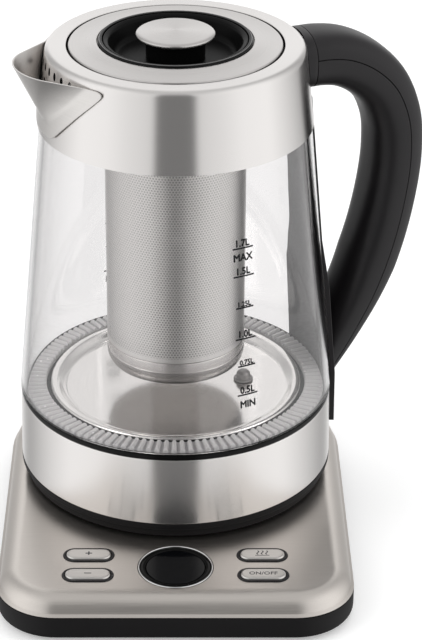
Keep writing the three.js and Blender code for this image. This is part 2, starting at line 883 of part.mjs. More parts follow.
function handleStrip() {
  const outline = [...stripFace(0), ...stripFace(stripThickness).reverse()];
  const rings = [];
  for (let i = 0; i <= stripSteps; i += 1) {
    const angle = stripHalfAngle * ((2 * i) / stripSteps - 1);
    rings.push(outline.map(([radius, z]) => [radius * Math.cos(angle), radius * Math.sin(angle), z]));
  }
  const slice = lofted(rings);
  const keep = block(2 * bandRadius, 2 * bandRadius, stripBottom, stripTop)
    .translate(bandRadius, 0, 0);
  return cut(fromSolid(toSolid(slice).intersect(toSolid(keep))), stripScrewHole());
}

// Screws along X, their heads inside the collar and inside the band
const stripScrewZ = (stripBottom + bandTopZ) / 2;
const bandRadiusAt = (z) => bandRadius + (bandSpread * (bandTopZ - z)) / bandHeight;
const gripHeadReach = collarRadiusAt(gripTopZ) - collarWall - 2 * gap - screwHeadHeight;
const stripHeadReach = bandRadiusAt(stripScrewZ) - bandWall - 2 * gap - screwHeadHeight;
const stripScrewLength = bandRadius + bandSpread + gap + stripScrewBite - stripHeadReach;

function radialScrew(z, headReach, length) {
  return turned([
    [0, 0],
    [screwHeadRadius, 0],
    [screwHeadRadius, screwHeadHeight],
    [screwShankRadius, screwHeadHeight],
    [screwShankRadius, length],
    [0, length],
  ], screwSides)
    .rotateY(Math.PI / 2)
    .translate(headReach, 0, z);
}

function radialScrewHole(z, headReach, length) {
  return disc(screwShankRadius + gap, 0, length + gap, screwSides)
    .rotateY(Math.PI / 2)
    .translate(headReach, 0, z);
}

function gripScrewHole() {
  return radialScrewHole(gripTopZ, gripHeadReach, handleScrewLength);
}

function stripScrewHole() {
  return radialScrewHole(stripScrewZ, stripHeadReach, stripScrewLength);
}

function handleBracket() {
  const start = gripSection(0, true);
  const under = gripSection(0, false);
  const outline = [...start, ...under.slice(1, -1)];
  const ringAt = (reach) => outline.map(([, y, z]) => [reach, y, z]);
  const pad = lofted([ringAt(throatRadius), ringAt(bracketReach)]);
  const low = stripTop - bracketLap;
  const face = [
    [0, low],
    [collarRadiusAt(low) + 2 * gap, low],
    [collarRadiusAt(collarTopZ - collarFillet) + 2 * gap, collarTopZ - collarFillet],
    [collarTopRadius + 2 * gap, collarTopZ + farReach],
    [0, collarTopZ + farReach],
  ];
  return cut(pad, turned(face, bigSides), gripScrewHole());
}

// Heating plate and what is under it
const plateFlangeZ = bandTopZ + gap;
const plateRimZ = plateFlangeZ + plateThickness + plateRimProud;
const plateFloorZ = plateRimZ - plateRise;
const plateFlange = bandRadius - trimRingWidth - 2 * gap;
const sealInner = plateFlange - sealRunShare * bandRadius;
const plateRimRadius = sealInner - sealStandOff - plateThickness - plateRimWidth;
const plateRadius = plateRimRadius - plateSlopeRun;
const probeReach = elementRadius + probeOffset;
const probeX = probeReach * Math.cos(probeAngle);
const probeY = probeReach * Math.sin(probeAngle);

function heatingPlate() {
  const thick = plateThickness;
  const plate = turned([
    [0, plateFloorZ - thick],
    [plateRadius + thick / 2, plateFloorZ - thick],
    [plateRimRadius + thick / 2, plateRimZ - thick],
    [plateRimRadius + plateRimWidth - thick, plateRimZ - thick],
    [plateRimRadius + plateRimWidth, plateFlangeZ],
    [plateFlange, plateFlangeZ],
    [plateFlange, plateFlangeZ + thick],
    [plateRimRadius + plateRimWidth + thick, plateFlangeZ + thick],
    [plateRimRadius + plateRimWidth, plateRimZ],
    [plateRimRadius, plateRimZ],
    [plateRadius, plateFloorZ],
    [0, plateFloorZ],
  ], bigSides);
  return cut(plate, probeHole());
}

function probeHole() {
  const hole = disc(probeRadius + gap, plateFloorZ - probeShank, plateRimZ + overrun, smallSides);
  return at(hole, probeX, probeY);
}

function temperatureProbe() {
  const low = plateFloorZ - probeShank;
  return at(turned([
    [0, low],
    [probeRadius, low],
    [probeRadius, plateFloorZ + gap],
    [probeRadius + probeFlange, plateFloorZ + gap],
    [probeRadius + probeFlange, plateFloorZ + probeFlange],
    [probeRadius, plateFloorZ + probeFlange],
    [probeRadius, plateFloorZ + probeHeight - probeFlange],
    [probeRadius - probeFlange, plateFloorZ + probeHeight],
    [0, plateFloorZ + probeHeight],
  ], smallSides), probeX, probeY);
}

function heatSpreader() {
  const top = plateFloorZ - plateThickness - gap;
  const radius = plateRadius - spreaderInset;
  return cut(disc(radius, top - spreaderThickness, top, midSides), probeHole());
}

const elementZ = plateFloorZ - plateThickness - 2 * gap - spreaderThickness - elementTube;

function heatingElement() {
  const arc = new THREE.CatmullRomCurve3(Array.from({ length: elementTurns + 1 }, (_, i) => {
    const angle = elementGap + ((fullTurn - 2 * elementGap) * i) / elementTurns;
    return new THREE.Vector3(elementRadius * Math.cos(angle), elementRadius * Math.sin(angle), 0);
  }));
  const section = new THREE.Shape().absarc(0, 0, elementTube, 0, fullTurn);
  const options = {
    steps: midSides, bevelEnabled: false, extrudePath: arc, curveSegments: smallSides / 2 + 1,
  };
  return closed(new THREE.ExtrudeGeometry(section, options).translate(0, 0, elementZ));
}

// Ribbed silicone ring between the plate and the glass: its top rises and falls round the ring
function glassSeal() {
  const low = plateFlangeZ + plateThickness + gap;
  const inner = sealInner;
  const top = low + sealTop;
  const rings = [];
  for (let i = 0; i < 2 * sealRibs; i += 1) {
    const angle = (i * fullTurn) / (2 * sealRibs);
    const crest = top + (i % 2) * sealRibDepth;
    const profile = [[inner, low], [plateFlange, low], [plateFlange, crest], [inner, crest]];
    rings.push(profile.map(([radius, z]) => [radius * Math.cos(angle), radius * Math.sin(angle), z]));
  }
  const size = rings[0].length;
  const index = [];
  rings.forEach((ring, r) => {
    const next = ((r + 1) % rings.length) * size;
    for (let i = 0; i < size; i += 1) {
      const a = r * size + i;
      const b = r * size + ((i + 1) % size);
      const c = next + ((i + 1) % size);
      const d = next + i;
      index.push(a, b, c, a, c, d);
    }
  });
  const geometry = new THREE.BufferGeometry();
  geometry.setAttribute("position", new THREE.Float32BufferAttribute(rings.flat(2), 3));
  geometry.setIndex(index);
  return closed(geometry);
}

// Socket: a cup over the base connector, hung from the bottom cover
const socketSeatZ = jugLift + coverPlate + gap;
const socketRoofTop = socketRoof + socketWall;

function kettleSocket() {
  return turned([
    [0, socketRoof],
    [socketCup, socketRoof],
    [socketCup, jugLift],
    [socketCup + socketWall, jugLift],
    [socketCup + socketWall, socketSeatZ],
    [socketFlange, socketSeatZ],
    [socketFlange, socketSeatZ + socketFlangeHeight],
    [socketCup + socketWall, socketSeatZ + socketFlangeHeight],
    [socketCup + socketWall, socketRoofTop],
    [0, socketRoofTop],
  ], midSides);
}

function contactRing() {
  return tube(contactInner, contactOuter, socketRoof - gap - contactReach, socketRoof - gap, midSides);
}

function contactPin() {
  return disc(pinRadius, socketRoof - gap - pinReach, socketRoof - gap, smallSides);
}

// Lid: a steel ring on a black carrier, sealed in the collar's throat
const lidTopZ = collarTopZ + lidProud;

function lidPlate() {
  const inner = lidRadius - lidThickness;
  return turned([
    [lidHole, lidTopZ - lidThickness],
    [inner, lidTopZ - lidThickness],
    [inner, lidTopZ - lidRimDepth],
    [lidRadius, lidTopZ - lidRimDepth],
    [lidRadius, lidTopZ - lidCorner],
    [lidRadius - lidCorner, lidTopZ],
    [lidHole, lidTopZ],
  ], bigSides);
}

const carrierTopZ = lidTopZ - lidThickness - gap;

function lidCarrier() {
  const low = carrierTopZ - carrierHeight;
  return turned([
    [throatHoleRadius, carrierTopZ - carrierThroatDepth],
    [throatHoleRadius + carrierWall, carrierTopZ - carrierThroatDepth],
    [throatHoleRadius + carrierWall, low - carrierWall],
    [carrierSpigot - carrierWall, low - carrierWall],
    [carrierSpigot - carrierWall, carrierTopZ - carrierDepth],
    [carrierSpigot, carrierTopZ - carrierDepth],
    [carrierSpigot, low],
    [carrierRadius, low],
    [carrierRadius, carrierTopZ],
    [throatHoleRadius, carrierTopZ],
  ], bigSides);
}

function lidGasket() {
  const top = carrierTopZ - carrierHeight - gap;
  const inner = carrierSpigot + gap;
  const body = (inner + gasketReach) / 2;
  return turned([
    [inner, top - gasketHeight],
    [body, top - gasketHeight],
    [gasketReach, top - gasketHeight * (1 - gasketRibShare)],
    [body, top - gasketHeight / 2],
    [gasketReach, top - gasketHeight * gasketRibShare],
    [body, top],
    [inner, top],
  ], bigSides);
}

// Infuser: a black rim ring, a thin steel tube and a cupped floor
const infuserRimLow = lidTopZ + gap;
const infuserRimTop = infuserRimLow + infuserRimHeight;
const sleeveLowZ = infuserRimTop - sleeveDepth;
const basketBottom = plateRimZ + basketLift;

function infuserRim() {
  return turned([
    [sleeveBore, sleeveLowZ],
    [sleeveRadius, sleeveLowZ],
    [sleeveRadius, infuserRimLow],
    [infuserRimRadius, infuserRimLow],
    [infuserRimRadius, infuserRimTop - infuserRimHeight / 2],
    [infuserRimRadius - infuserRimHeight / 3, infuserRimTop],
    [infuserRimBore, infuserRimTop],
    [infuserRimBore, infuserRimTop - infuserRimSeat],
    [sleeveBore, infuserRimTop - infuserRimSeat],
  ], bigSides);
}

function infuserBasket() {
  const low = basketBottom + basketCupHeight + gap;
  return tube(basketRadius - basketWall, basketRadius, low, sleeveLowZ - gap, bigSides);
}

function infuserBase() {
  const top = basketBottom + basketCupHeight;
  const inner = basketRadius - basketWall;
  return turned([
    [0, basketBottom + basketFloor],
    [inner - basketFloor * 2, basketBottom],
    [basketRadius - basketFloor, basketBottom],
    [basketRadius, basketBottom + basketFloor],
    [basketRadius, top],
    [inner, top],
    [inner, basketBottom + 2 * basketFloor],
    [inner - basketFloor, basketBottom + 2 * basketFloor],
    [0, basketBottom + 2 * basketFloor],
  ], bigSides);
}

// Cap: a black well that closes the infuser, lifted by a steel knob on a black stem
const capRimTop = infuserRimTop - gap;
const capRimLow = infuserRimTop - infuserRimSeat + gap;
const capFloorTop = capRimTop - capDepth;
const capFloorLow = capFloorTop - capWall;
const knobTopZ = infuserRimTop + knobProud + knobThickness;

function capWell() {
  const well = turned([
    [0, capFloorLow],
    [capBody - capSealWidth, capFloorLow],
    [capBody - capSealWidth, capFloorLow + capSealHeight + 2 * gap],
    [capBody, capFloorLow + capSealHeight + 2 * gap],
    [capBody, capRimLow],
    [capRimRadius, capRimLow],
    [capRimRadius, capRimTop - capRimThickness / 4],
    [capRimRadius - capRimThickness / 4, capRimTop],
    [capBody - capWall, capRimTop - capRimThickness / 2],
    [capFloorRadius, capFloorTop],
    [0, capFloorTop],
  ], bigSides);
  return cut(well, disc(screwShankRadius + gap, capFloorLow - overrun, capRimTop, screwSides));
}

function capSeal() {
  const inner = capBody - capSealWidth + gap;
  const low = capFloorLow + gap;
  return tube(inner, inner + capSealWidth - gap, low, low + capSealHeight, bigSides);
}

function knobStem() {
  const low = capFloorTop + gap;
  const high = knobTopZ - knobThickness - gap;
  const post = disc(stemRadius, low, high, midSides);
  return cut(post, disc(screwShankRadius + gap, low - overrun, high - overrun, screwSides));
}

function knobDisc() {
  const low = knobTopZ - knobThickness;
  return turned([
    [0, low],
    [knobRadius - knobThickness / 2, low],
    [knobRadius, low + knobThickness / 2],
    [knobRadius - knobThickness / 5, knobTopZ - knobThickness / 6],
    [knobRadius - knobThickness / 2, knobTopZ],
    [knobRadius / 2, knobTopZ + knobDome / 2],
    [0, knobTopZ + knobDome],
  ], midSides);
}

function capScrew() {
  const headLow = capFloorLow - gap - screwHeadHeight;
  return turned([
    [0, headLow],
    [screwHeadRadius, headLow],
    [screwHeadRadius, capFloorLow - gap],
    [screwShankRadius, capFloorLow - gap],
    [screwShankRadius, headLow + capScrewLength],
    [0, headLow + capScrewLength],
  ], screwSides);
}

// Puts each piece in its group as a named mesh
const kettle = new THREE.Group();
const base = new THREE.Group();
const jug = new THREE.Group();
jug.position.z = deckZ + jugLift;
jug.rotation.z = jugTurn;
kettle.add(base, jug);

function place(group, name, geometry, look) {
  const mesh = new THREE.Mesh(closed(geometry), new THREE.MeshStandardMaterial(finish[look]));
  mesh.name = name;
  group.add(mesh);
  return mesh;
}

place(base, "base_tray", baseTray(), "blackPlastic");
place(base, "base_cover", baseCover(), "warmSteel");
footPlaces.forEach(([x, y], i) => place(base, `foot_${i + 1}`, at(foot(), x, y), "softBlack"));
screwPlaces.forEach(([x, y], i) => place(base, `base_screw_${i + 1}`, at(baseScrew(), x, y), "chrome"));
place(base, "display_trim", at(displayTrim(), 0, displayY), "chrome");
place(base, "display_bezel", at(displayBezel(), 0, displayY), "blackPlastic");
place(base, "display_lens", at(displayLens(), 0, displayY), "lens");
place(base, "display_module", at(displayModule(), 0, displayY), "blackPlastic");
place(base, "control_board", at(controlBoard(), 0, displayY), "board");
place(base, "key_frame_left", at(keyFrame(), -keyX, 0), "blackPlastic");
place(base, "key_frame_right", at(keyFrame(), keyX, 0), "blackPlastic");
const keyNames = ["plus", "minus", "warm", "power"];
keyPlaces.forEach(([x, y], i) => {
  place(base, `key_${keyNames[i]}`, at(key(), x, y), "brushedSteel");
  place(base, `switch_${keyNames[i]}`, at(tactSwitch(), x, y), "softBlack");
});
place(base, "base_connector", baseConnector(), "blackPlastic");
place(base, "connector_shutter", connectorShutter(), "softBlack");
place(base, "cord_gland", cordGland(), "softBlack");

place(jug, "bottom_cover", bottomCover(), "blackPlastic");
place(jug, "lower_band", lowerBand(), "brushedSteel");
place(jug, "kettle_socket", kettleSocket(), "blackPlastic");
place(jug, "contact_ring", contactRing(), "brass");
place(jug, "contact_pin", contactPin(), "brass");
place(jug, "heating_element", heatingElement(), "aluminium");
place(jug, "heat_spreader", heatSpreader(), "aluminium");
place(jug, "heating_plate", heatingPlate(), "brushedSteel");
place(jug, "temperature_probe", temperatureProbe(), "brushedSteel");
place(jug, "trim_ring", trimRing(), "blackPlastic");
place(jug, "glass_seal", glassSeal(), "silicone");
place(jug, "glass_jug", glassJug(), "glass");
place(jug, "upper_seal", upperSeal(), "silicone");
place(jug, "collar", collar(), "brushedSteel");
place(jug, "spout", spout(), "brushedSteel");
place(jug, "handle_bracket", handleBracket(), "blackPlastic");
place(jug, "handle_outer", handleHalf(true), "blackPlastic");
place(jug, "handle_inner", handleHalf(false), "blackPlastic");
place(jug, "handle_strip", handleStrip(), "blackPlastic");
place(jug, "handle_screw_top", radialScrew(gripTopZ, gripHeadReach, handleScrewLength), "chrome");
place(jug, "handle_screw_low", radialScrew(stripScrewZ, stripHeadReach, stripScrewLength), "chrome");
place(jug, "lid_plate", lidPlate(), "brushedSteel");
place(jug, "lid_carrier", lidCarrier(), "blackPlastic");
place(jug, "lid_gasket", lidGasket(), "silicone");
place(jug, "infuser_rim", infuserRim(), "blackPlastic");
place(jug, "infuser_basket", infuserBasket(), "brushedSteel");
place(jug, "infuser_base", infuserBase(), "brushedSteel");
place(jug, "cap_well", capWell(), "softBlack");
place(jug, "cap_seal", capSeal(), "silicone");
place(jug, "knob_stem", knobStem(), "softBlack");
place(jug, "knob_disc", knobDisc(), "brushedSteel");
place(jug, "cap_screw", capScrew(), "chrome");

export default kettle;
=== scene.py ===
import math

import bmesh
import bpy
import numpy as np
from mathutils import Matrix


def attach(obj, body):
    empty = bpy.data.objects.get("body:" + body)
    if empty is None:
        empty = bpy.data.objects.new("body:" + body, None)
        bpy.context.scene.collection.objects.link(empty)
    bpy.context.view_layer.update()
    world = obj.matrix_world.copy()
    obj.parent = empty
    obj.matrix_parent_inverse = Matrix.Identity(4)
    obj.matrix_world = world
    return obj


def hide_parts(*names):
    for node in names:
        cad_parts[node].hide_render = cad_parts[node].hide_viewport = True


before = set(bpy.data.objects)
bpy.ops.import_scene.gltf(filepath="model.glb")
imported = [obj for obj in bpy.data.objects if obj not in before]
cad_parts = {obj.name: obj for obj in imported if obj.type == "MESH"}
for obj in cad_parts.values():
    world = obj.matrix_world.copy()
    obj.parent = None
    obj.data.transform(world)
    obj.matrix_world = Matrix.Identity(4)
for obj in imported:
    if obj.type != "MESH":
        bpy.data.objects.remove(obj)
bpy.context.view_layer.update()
print("frame loaded")

# Shared measures in millimetres, as in the part's source
millimetre = 0.001
gap = 0.3
jugTurn = math.radians(20)
jugBaseZ = 24.2  # the jug's own underside above the base's underside
deckZ = 22.8
deckUnderZ = 21.6
displayY = -104.3
glandY, glandZ = 86, 7.2
brushLength = 30
softEdge = 0.25
fineSides = 160
midSides = 96
fullTurn = 2 * math.pi
root3 = math.sqrt(3)


def linear(hexColour):
    # sRGB to linear: c / 12.92 where dark, and ((c + 0.055) / 1.055) to the power 2.4 elsewhere
    c = np.array([int(hexColour[i:i + 2], 16) for i in (1, 3, 5)]) / 255
    c = np.where(c <= 0.04045, c / 12.92, ((c + 0.055) / 1.055) ** 2.4)
    return (*c.tolist(), 1.0)


def addNode(tree, kind, inputs=None, **settings):
    # one node with its settings: what another node gives is linked to an input, any other value is set on it
    node = tree.nodes.new("ShaderNode" + kind)
    for name, value in settings.items():
        setattr(node, name, value)
    for socket, value in (inputs or {}).items():
        if isinstance(value, bpy.types.NodeSocket):
            tree.links.new(value, node.inputs[socket])
        else:
            node.inputs[socket].default_value = value
    return node


def maths(tree, operation, *values):
    return addNode(tree, "Math", dict(enumerate(values)), operation=operation).outputs[0]


def vectors(tree, operation, *values):
    node = addNode(tree, "VectorMath", dict(enumerate(values)), operation=operation)
    return node.outputs["Value" if operation == "LENGTH" else 0]


def noise(tree, place, scale, detail, **more):
    return addNode(tree, "TexNoise", {"Vector": place, "Scale": scale, "Detail": detail, **more}).outputs[0]


def spread(tree, value, low, high, start=0.0, end=1.0):
    # straight line from low to high while the value goes from start to end
    return addNode(tree, "MapRange", {"Value": value, "From Min": start, "From Max": end, "To Min": low,
                                      "To Max": high}).outputs[0]


def blend(tree, share, first, second):
    return addNode(tree, "Mix", {0: share, 6: first, 7: second}, data_type="RGBA").outputs[2]


def raised(tree, height, strength, depth):
    return addNode(tree, "Bump", {"Strength": strength, "Distance": depth, "Height": height}).outputs[0]


def principled(tree, **inputs):
    named = {name.replace("_", " "): value for name, value in inputs.items()}
    return addNode(tree, "BsdfPrincipled", named).outputs[0]


def mixed(tree, share, first, second):
    return addNode(tree, "MixShader", {0: share, 1: first, 2: second}).outputs[0]


def newMaterial(name):
    # an empty material and its nodes
    material = bpy.data.materials.new(name)
    material.use_nodes = True
    tree = material.node_tree
    tree.nodes.clear()
    return material, tree


def objectPlace(tree):
    return addNode(tree, "TexCoord").outputs["Object"]


def finished(material, surface):
    addNode(material.node_tree, "OutputMaterial", {"Surface": surface})
    return material


def brushedMetal(name, darkHex, lightHex, roughness, lineWidth, run="round", anisotropy=0.85, turn=0.25, relief=0.06,
                 uneven=0.045):
    # Cold-rolled stainless steel rubbed with a grit belt: fine lines, each a little lighter or darker, which draw
    # reflections out across the lines. "round" lines circle the jug's axis, "along" lines follow X. A slow cloud
    # adds 0.3 of itself to their tone. Tone and gloss are spread over the values that the grain takes most often.
    material, tree = newMaterial(name)
    place = objectPlace(tree)
    x, y, z = addNode(tree, "SeparateXYZ", {0: place}).outputs
    across = vectors(tree, "LENGTH", vectors(tree, "MULTIPLY", place, (1, 1, 0))) if run == "round" else y
    fine, slow = 1 / (lineWidth * millimetre), 1 / (brushLength * millimetre)
    steps = [maths(tree, "MULTIPLY", value, scale) for value, scale in ((across, fine), (z, fine), (x, slow))]
    lines = addNode(tree, "CombineXYZ", dict(enumerate(steps))).outputs[0]
    grain = noise(tree, lines, 1.0, 3.0, Roughness=0.65)
    tone = maths(tree, "MULTIPLY_ADD", noise(tree, place, 18.0, 2.0), 0.3, grain)
    return finished(material, principled(
        tree, Metallic=1.0, Anisotropic=anisotropy, Anisotropic_Rotation=turn,
        Base_Color=blend(tree, spread(tree, tone, 0.0, 1.0, 0.35, 0.95), linear(darkHex), linear(lightHex)),
        Roughness=spread(tree, grain, roughness - uneven, roughness + uneven, 0.3, 0.7),
        Normal=raised(tree, grain, relief, 0.00004)))


def plainMetal(name, darkHex, lightHex, roughness, grainSize):
    # Plated, cast or drawn metal without brush lines: a soft grain in tone and gloss
    material, tree = newMaterial(name)
    grain = noise(tree, objectPlace(tree), 1 / (grainSize * millimetre), 3.0)
    return finished(material, principled(
        tree, Metallic=1.0, Base_Color=blend(tree, grain, linear(darkHex), linear(lightHex)),
        Roughness=spread(tree, grain, roughness * 0.8, roughness * 1.2)))


def mouldedPlastic(name, darkHex, lightHex, roughness, grainSize, relief=0.15, ior=1.46, gloss=0.5):
    # Injection-moulded plastic: an even skin with a faint spark-eroded grain that breaks up its highlight
    material, tree = newMaterial(name)
    place = objectPlace(tree)
    grain = noise(tree, place, 1 / (grainSize * millimetre), 2.0)
    return finished(material, principled(
        tree, IOR=ior, Specular_IOR_Level=gloss,
        Base_Color=blend(tree, noise(tree, place, 30.0, 2.0), linear(darkHex), linear(lightHex)),
        Roughness=spread(tree, grain, roughness - 0.06, roughness + 0.06),
        Normal=raised(tree, grain, relief, 0.00005)))


def clearMaterial(name, hexColour, ior, roughness, grainSize, relief, share=1.0):
    # Clear glass or silicone: light passes, bends and picks up a faint waviness; lamps reach what is inside
    material, tree = newMaterial(name)
    wave = noise(tree, objectPlace(tree), 1 / (grainSize * millimetre), 1.0)
    clear = principled(tree, Base_Color=linear(hexColour), IOR=ior, Transmission_Weight=share,
                       Roughness=spread(tree, wave, roughness, roughness * 1.5),
                       Normal=raised(tree, wave, relief, 0.0001))
    lamps = addNode(tree, "BsdfTransparent", {"Color": linear(hexColour)}).outputs[0]
    shadow = addNode(tree, "LightPath").outputs["Is Shadow Ray"]
    return finished(material, mixed(tree, shadow, clear, lamps))


def perforatedSteel(name, sheet):
    # Photo-etched stainless sheet: round holes in a hexagonal lattice through bright steel, so light passes.
    # Column = angle / full turn * count, row = height / (pitch * root 3); a hole is where the distance to the
    # nearest point of either of two such lattices, the second half a cell on both ways, is under its radius. A
    # darker ring, painted shade for the holes' walls, runs round each hole. The real pitch is about 1 mm: it is
    # drawn coarser so that it shows.
    material, tree = newMaterial(name)
    place = objectPlace(tree)
    x, y, z = addNode(tree, "SeparateXYZ", {0: place}).outputs
    count = int(fullTurn * sheet["radius"] / sheet["pitch"])
    column = maths(tree, "MULTIPLY", maths(tree, "ARCTAN2", y, x), count / fullTurn)
    row = maths(tree, "MULTIPLY", z, 1 / (sheet["pitch"] * root3 * millimetre))
    cell = addNode(tree, "CombineXYZ", {0: column, 1: row}).outputs[0]
    near = []
    for shift in (0.0, 0.5):
        part = vectors(tree, "FRACTION", vectors(tree, "ADD", cell, (shift, shift, 0)))
        centred = vectors(tree, "SUBTRACT", part, (0.5, 0.5, 0))
        near.append(vectors(tree, "LENGTH", vectors(tree, "MULTIPLY", centred, (1, root3, 0))))
    nearest = maths(tree, "MINIMUM", *near)
    above = maths(tree, "GREATER_THAN", z, sheet["from"] * millimetre)
    field = maths(tree, "MULTIPLY", above, maths(tree, "LESS_THAN", z, sheet["to"] * millimetre))
    hole, rim = sheet["hole"] / sheet["pitch"], (sheet["hole"] + sheet["edge"]) / sheet["pitch"]
    mask, shaded = [maths(tree, "MULTIPLY", spread(tree, nearest, 1.0, 0.0, reach - soft, reach + soft), field)
                    for reach, soft in ((hole, 0.05), (rim, 0.06))]
    colour = blend(tree, noise(tree, place, 900.0, 2.0), linear(sheet["dark"]), linear(sheet["light"]))
    steel = principled(tree, Metallic=1.0, Roughness=sheet["roughness"],
                       Base_Color=blend(tree, shaded, colour, linear(sheet["holeShadeColour"])))
    through = addNode(tree, "BsdfTransparent", {"Color": (1, 1, 1, 1)}).outputs[0]
    return finished(material, mixed(tree, mask, steel, through))


basketSheet = {"radius": 35.2, "pitch": 1.5, "hole": 0.3, "edge": 0.16, "from": 101.5, "to": 243.0,
               "dark": "#eae8e6", "light": "#f4f2f0", "holeShadeColour": "#c2c0be", "roughness": 0.38}

finishes = {
    "jugSteel": brushedMetal("brushed stainless steel, round", "#e6e3e1", "#e9e6e4", 0.23, 0.35, "round", 0.9,
                             relief=0.0, uneven=0.012),
    "lidSteel": brushedMetal("brushed stainless steel, lid", "#d0cdcb", "#d8d5d3", 0.3, 0.35, "round",
                             relief=0.02, uneven=0.03),
    # a near-black copy of the steel: painted shade in the jug's hollows, grooves and hole walls
    "paintedShadeSteel": plainMetal("steel inside, near-black painted shade", "#1b1a1a", "#242323", 0.6, 1.5),
    # a mid-grey copy of the steel: lighter painted shade on the throat's inside wall
    "throatShadeSteel": plainMetal("steel throat wall, lighter painted shade", "#6a6866", "#767472", 0.5, 1.5),
    "spoutSteel": brushedMetal("brushed stainless steel, bent sheet", "#d9d6d3", "#e6e3e0", 0.34, 0.35, "round", 0.0,
                               0.0),
    "plateSteel": brushedMetal("satin stainless steel, spun", "#e9e7e5", "#f2f0ee", 0.16, 0.5, "round", 0.3,
                               relief=0.02),
    "cupShade": brushedMetal("satin stainless steel, cup's foot", "#a9a6a4", "#b3b0ae", 0.25, 0.5, "round", 0.5,
                             relief=0.0, uneven=0.01),
    "cupSteel": brushedMetal("satin stainless steel, drawn cup", "#dfdcda", "#e6e3e1", 0.25, 0.5, "round", 0.5,
                             relief=0.0, uneven=0.01),
    "probeSteel": plainMetal("satin stainless steel, turned", "#a5a2a0", "#b2afad", 0.55, 3),
    "deckSteel": brushedMetal("warm brushed stainless steel, straight", "#d6d0ca", "#e0dad4", 0.34, 0.35, "along",
                              0.0, 0.0),
    "keySteel": brushedMetal("satin nickel on moulded keys", "#d6d3cf", "#e4e1dd", 0.32, 0.3, "along", 0.0, 0.0,
                             relief=0.05),
    "basketSteel": perforatedSteel("photo-etched stainless sheet", basketSheet),
    "chrome": plainMetal("polished chrome plate", "#dfdfdf", "#efefef", 0.1, 4),
    "screwSteel": plainMetal("zinc-plated steel", "#a9a9aa", "#c4c4c5", 0.3, 0.8),
    "aluminium": plainMetal("die-cast aluminium", "#a6a8aa", "#c0c2c4", 0.5, 0.9),
    "brass": plainMetal("drawn brass", "#b5965a", "#cfb06c", 0.3, 1.2),
    "blackPlastic": mouldedPlastic("satin moulded polypropylene, black", "#191719", "#1f1d1f", 0.38, 0.5, 0.1,
                                   gloss=0.42),
    "trayPlastic": mouldedPlastic("satin moulded under-tray, black", "#131213", "#191819", 0.5, 0.5, gloss=0.2),
    "wellPlastic": mouldedPlastic("dark moulded polypropylene, fine satin", "#0c0c0c", "#111111", 0.3, 0.4, 0.05,
                                  gloss=0.07),
    "glossPlastic": mouldedPlastic("gloss moulded polypropylene, black", "#070707", "#0b0b0b", 0.16, 2.0, 0.03,
                                   gloss=0.16),
    # a grey copy of the black plastic: a painted highlight on the infuser's rim
    "rimGlint": mouldedPlastic("painted highlight on the black rim", "#5c5b5b", "#6a6969", 0.2, 2.0, 0.02),
    # grey silicone: painted shade in the seal's grooves
    "groove": mouldedPlastic("silicone, painted shade in its grooves", "#9a999a", "#a5a4a5", 0.45, 1.0, 0.02, 1.41),
    "rubber": mouldedPlastic("moulded rubber, black", "#161616", "#1f1f1f", 0.7, 0.4, 0.3, gloss=0.2),
    "lens": mouldedPlastic("smoked acrylic window", "#050608", "#090a0c", 0.1, 6.0, 0.02, 1.49, 0.25),
    "board": mouldedPlastic("lacquered circuit board", "#1c4d33", "#25603f", 0.4, 1.5),
    "print": mouldedPlastic("screen-printed ceramic ink, dark grey", "#1c1c1d", "#262627", 0.6, 0.3, 0.05, gloss=0.2),
    "keyPrint": mouldedPlastic("pad-printed ink, grey", "#4a4a4b", "#575758", 0.6, 0.3, 0.05, gloss=0.2),
    "glass": clearMaterial("drawn borosilicate glass", "#f8f7f7", 1.47, 0.004, 60, 0.03),
    "silicone": clearMaterial("moulded translucent silicone", "#f8f7f7", 1.41, 0.2, 3, 0.0, 0.45),
}
print("materials made")

# the bodies that stand in the jug's turned axes
jugBodies = ("kettle", "lid", "infuser", "cap")


def jugPlace(points):
    # the jug's own axes, turned on the base and lifted onto it
    c, s = math.cos(jugTurn), math.sin(jugTurn)
    turned = points @ np.array([[c, s, 0], [-s, c, 0], [0, 0, 1]])
    return turned + np.array([0, 0, jugBaseZ])


def gridFaces(rows, columns, wrapRows=False, wrapColumns=False):
    # cell (i, j) joins point i * columns + j to its neighbours; a wrapped side joins its last to its first
    i, j = np.meshgrid(np.arange(rows if wrapRows else rows - 1), np.arange(columns if wrapColumns else columns - 1),
                       indexing="ij")
    nextI, nextJ = (i + 1) % rows, (j + 1) % columns
    return np.stack([i * columns + j, i * columns + nextJ, nextI * columns + nextJ, nextI * columns + j],
                    -1).reshape(-1, 4)


def joined(*shells):
    # several shells of points and faces as one
    starts = np.cumsum([0] + [len(points) for points, _ in shells])
    faces = [[start + corner for corner in face] for (_, some), start in zip(shells, starts) for face in some]
    return np.concatenate([points for points, _ in shells]), faces


def linked(name, data):
    thing = bpy.data.objects.new(name, data)
    bpy.context.scene.collection.objects.link(thing)
    return thing


def cleanMesh(name, points, faces, welded=True):
    # a mesh in metres with its faces turned outwards, and with doubled points and empty faces gone
    mesh = bpy.data.meshes.new(name)
    mesh.from_pydata((points * millimetre).tolist(), [], [list(map(int, face)) for face in faces])
    shape = bmesh.new()
    shape.from_mesh(mesh)
    if welded:
        bmesh.ops.remove_doubles(shape, verts=shape.verts, dist=1e-6)
        bmesh.ops.dissolve_degenerate(shape, edges=shape.edges, dist=1e-7)
    bmesh.ops.recalc_face_normals(shape, faces=shape.faces)
    shape.to_mesh(mesh)
    shape.free()
    return mesh


def smoothed(mesh, sharp=35):
    mesh.polygons.foreach_set("use_smooth", np.ones(len(mesh.polygons), bool))
    mesh.set_sharp_from_angle(angle=math.radians(sharp))
    return mesh


def evaluated(thing):
    return bpy.data.meshes.new_from_object(thing.evaluated_get(bpy.context.evaluated_depsgraph_get()))


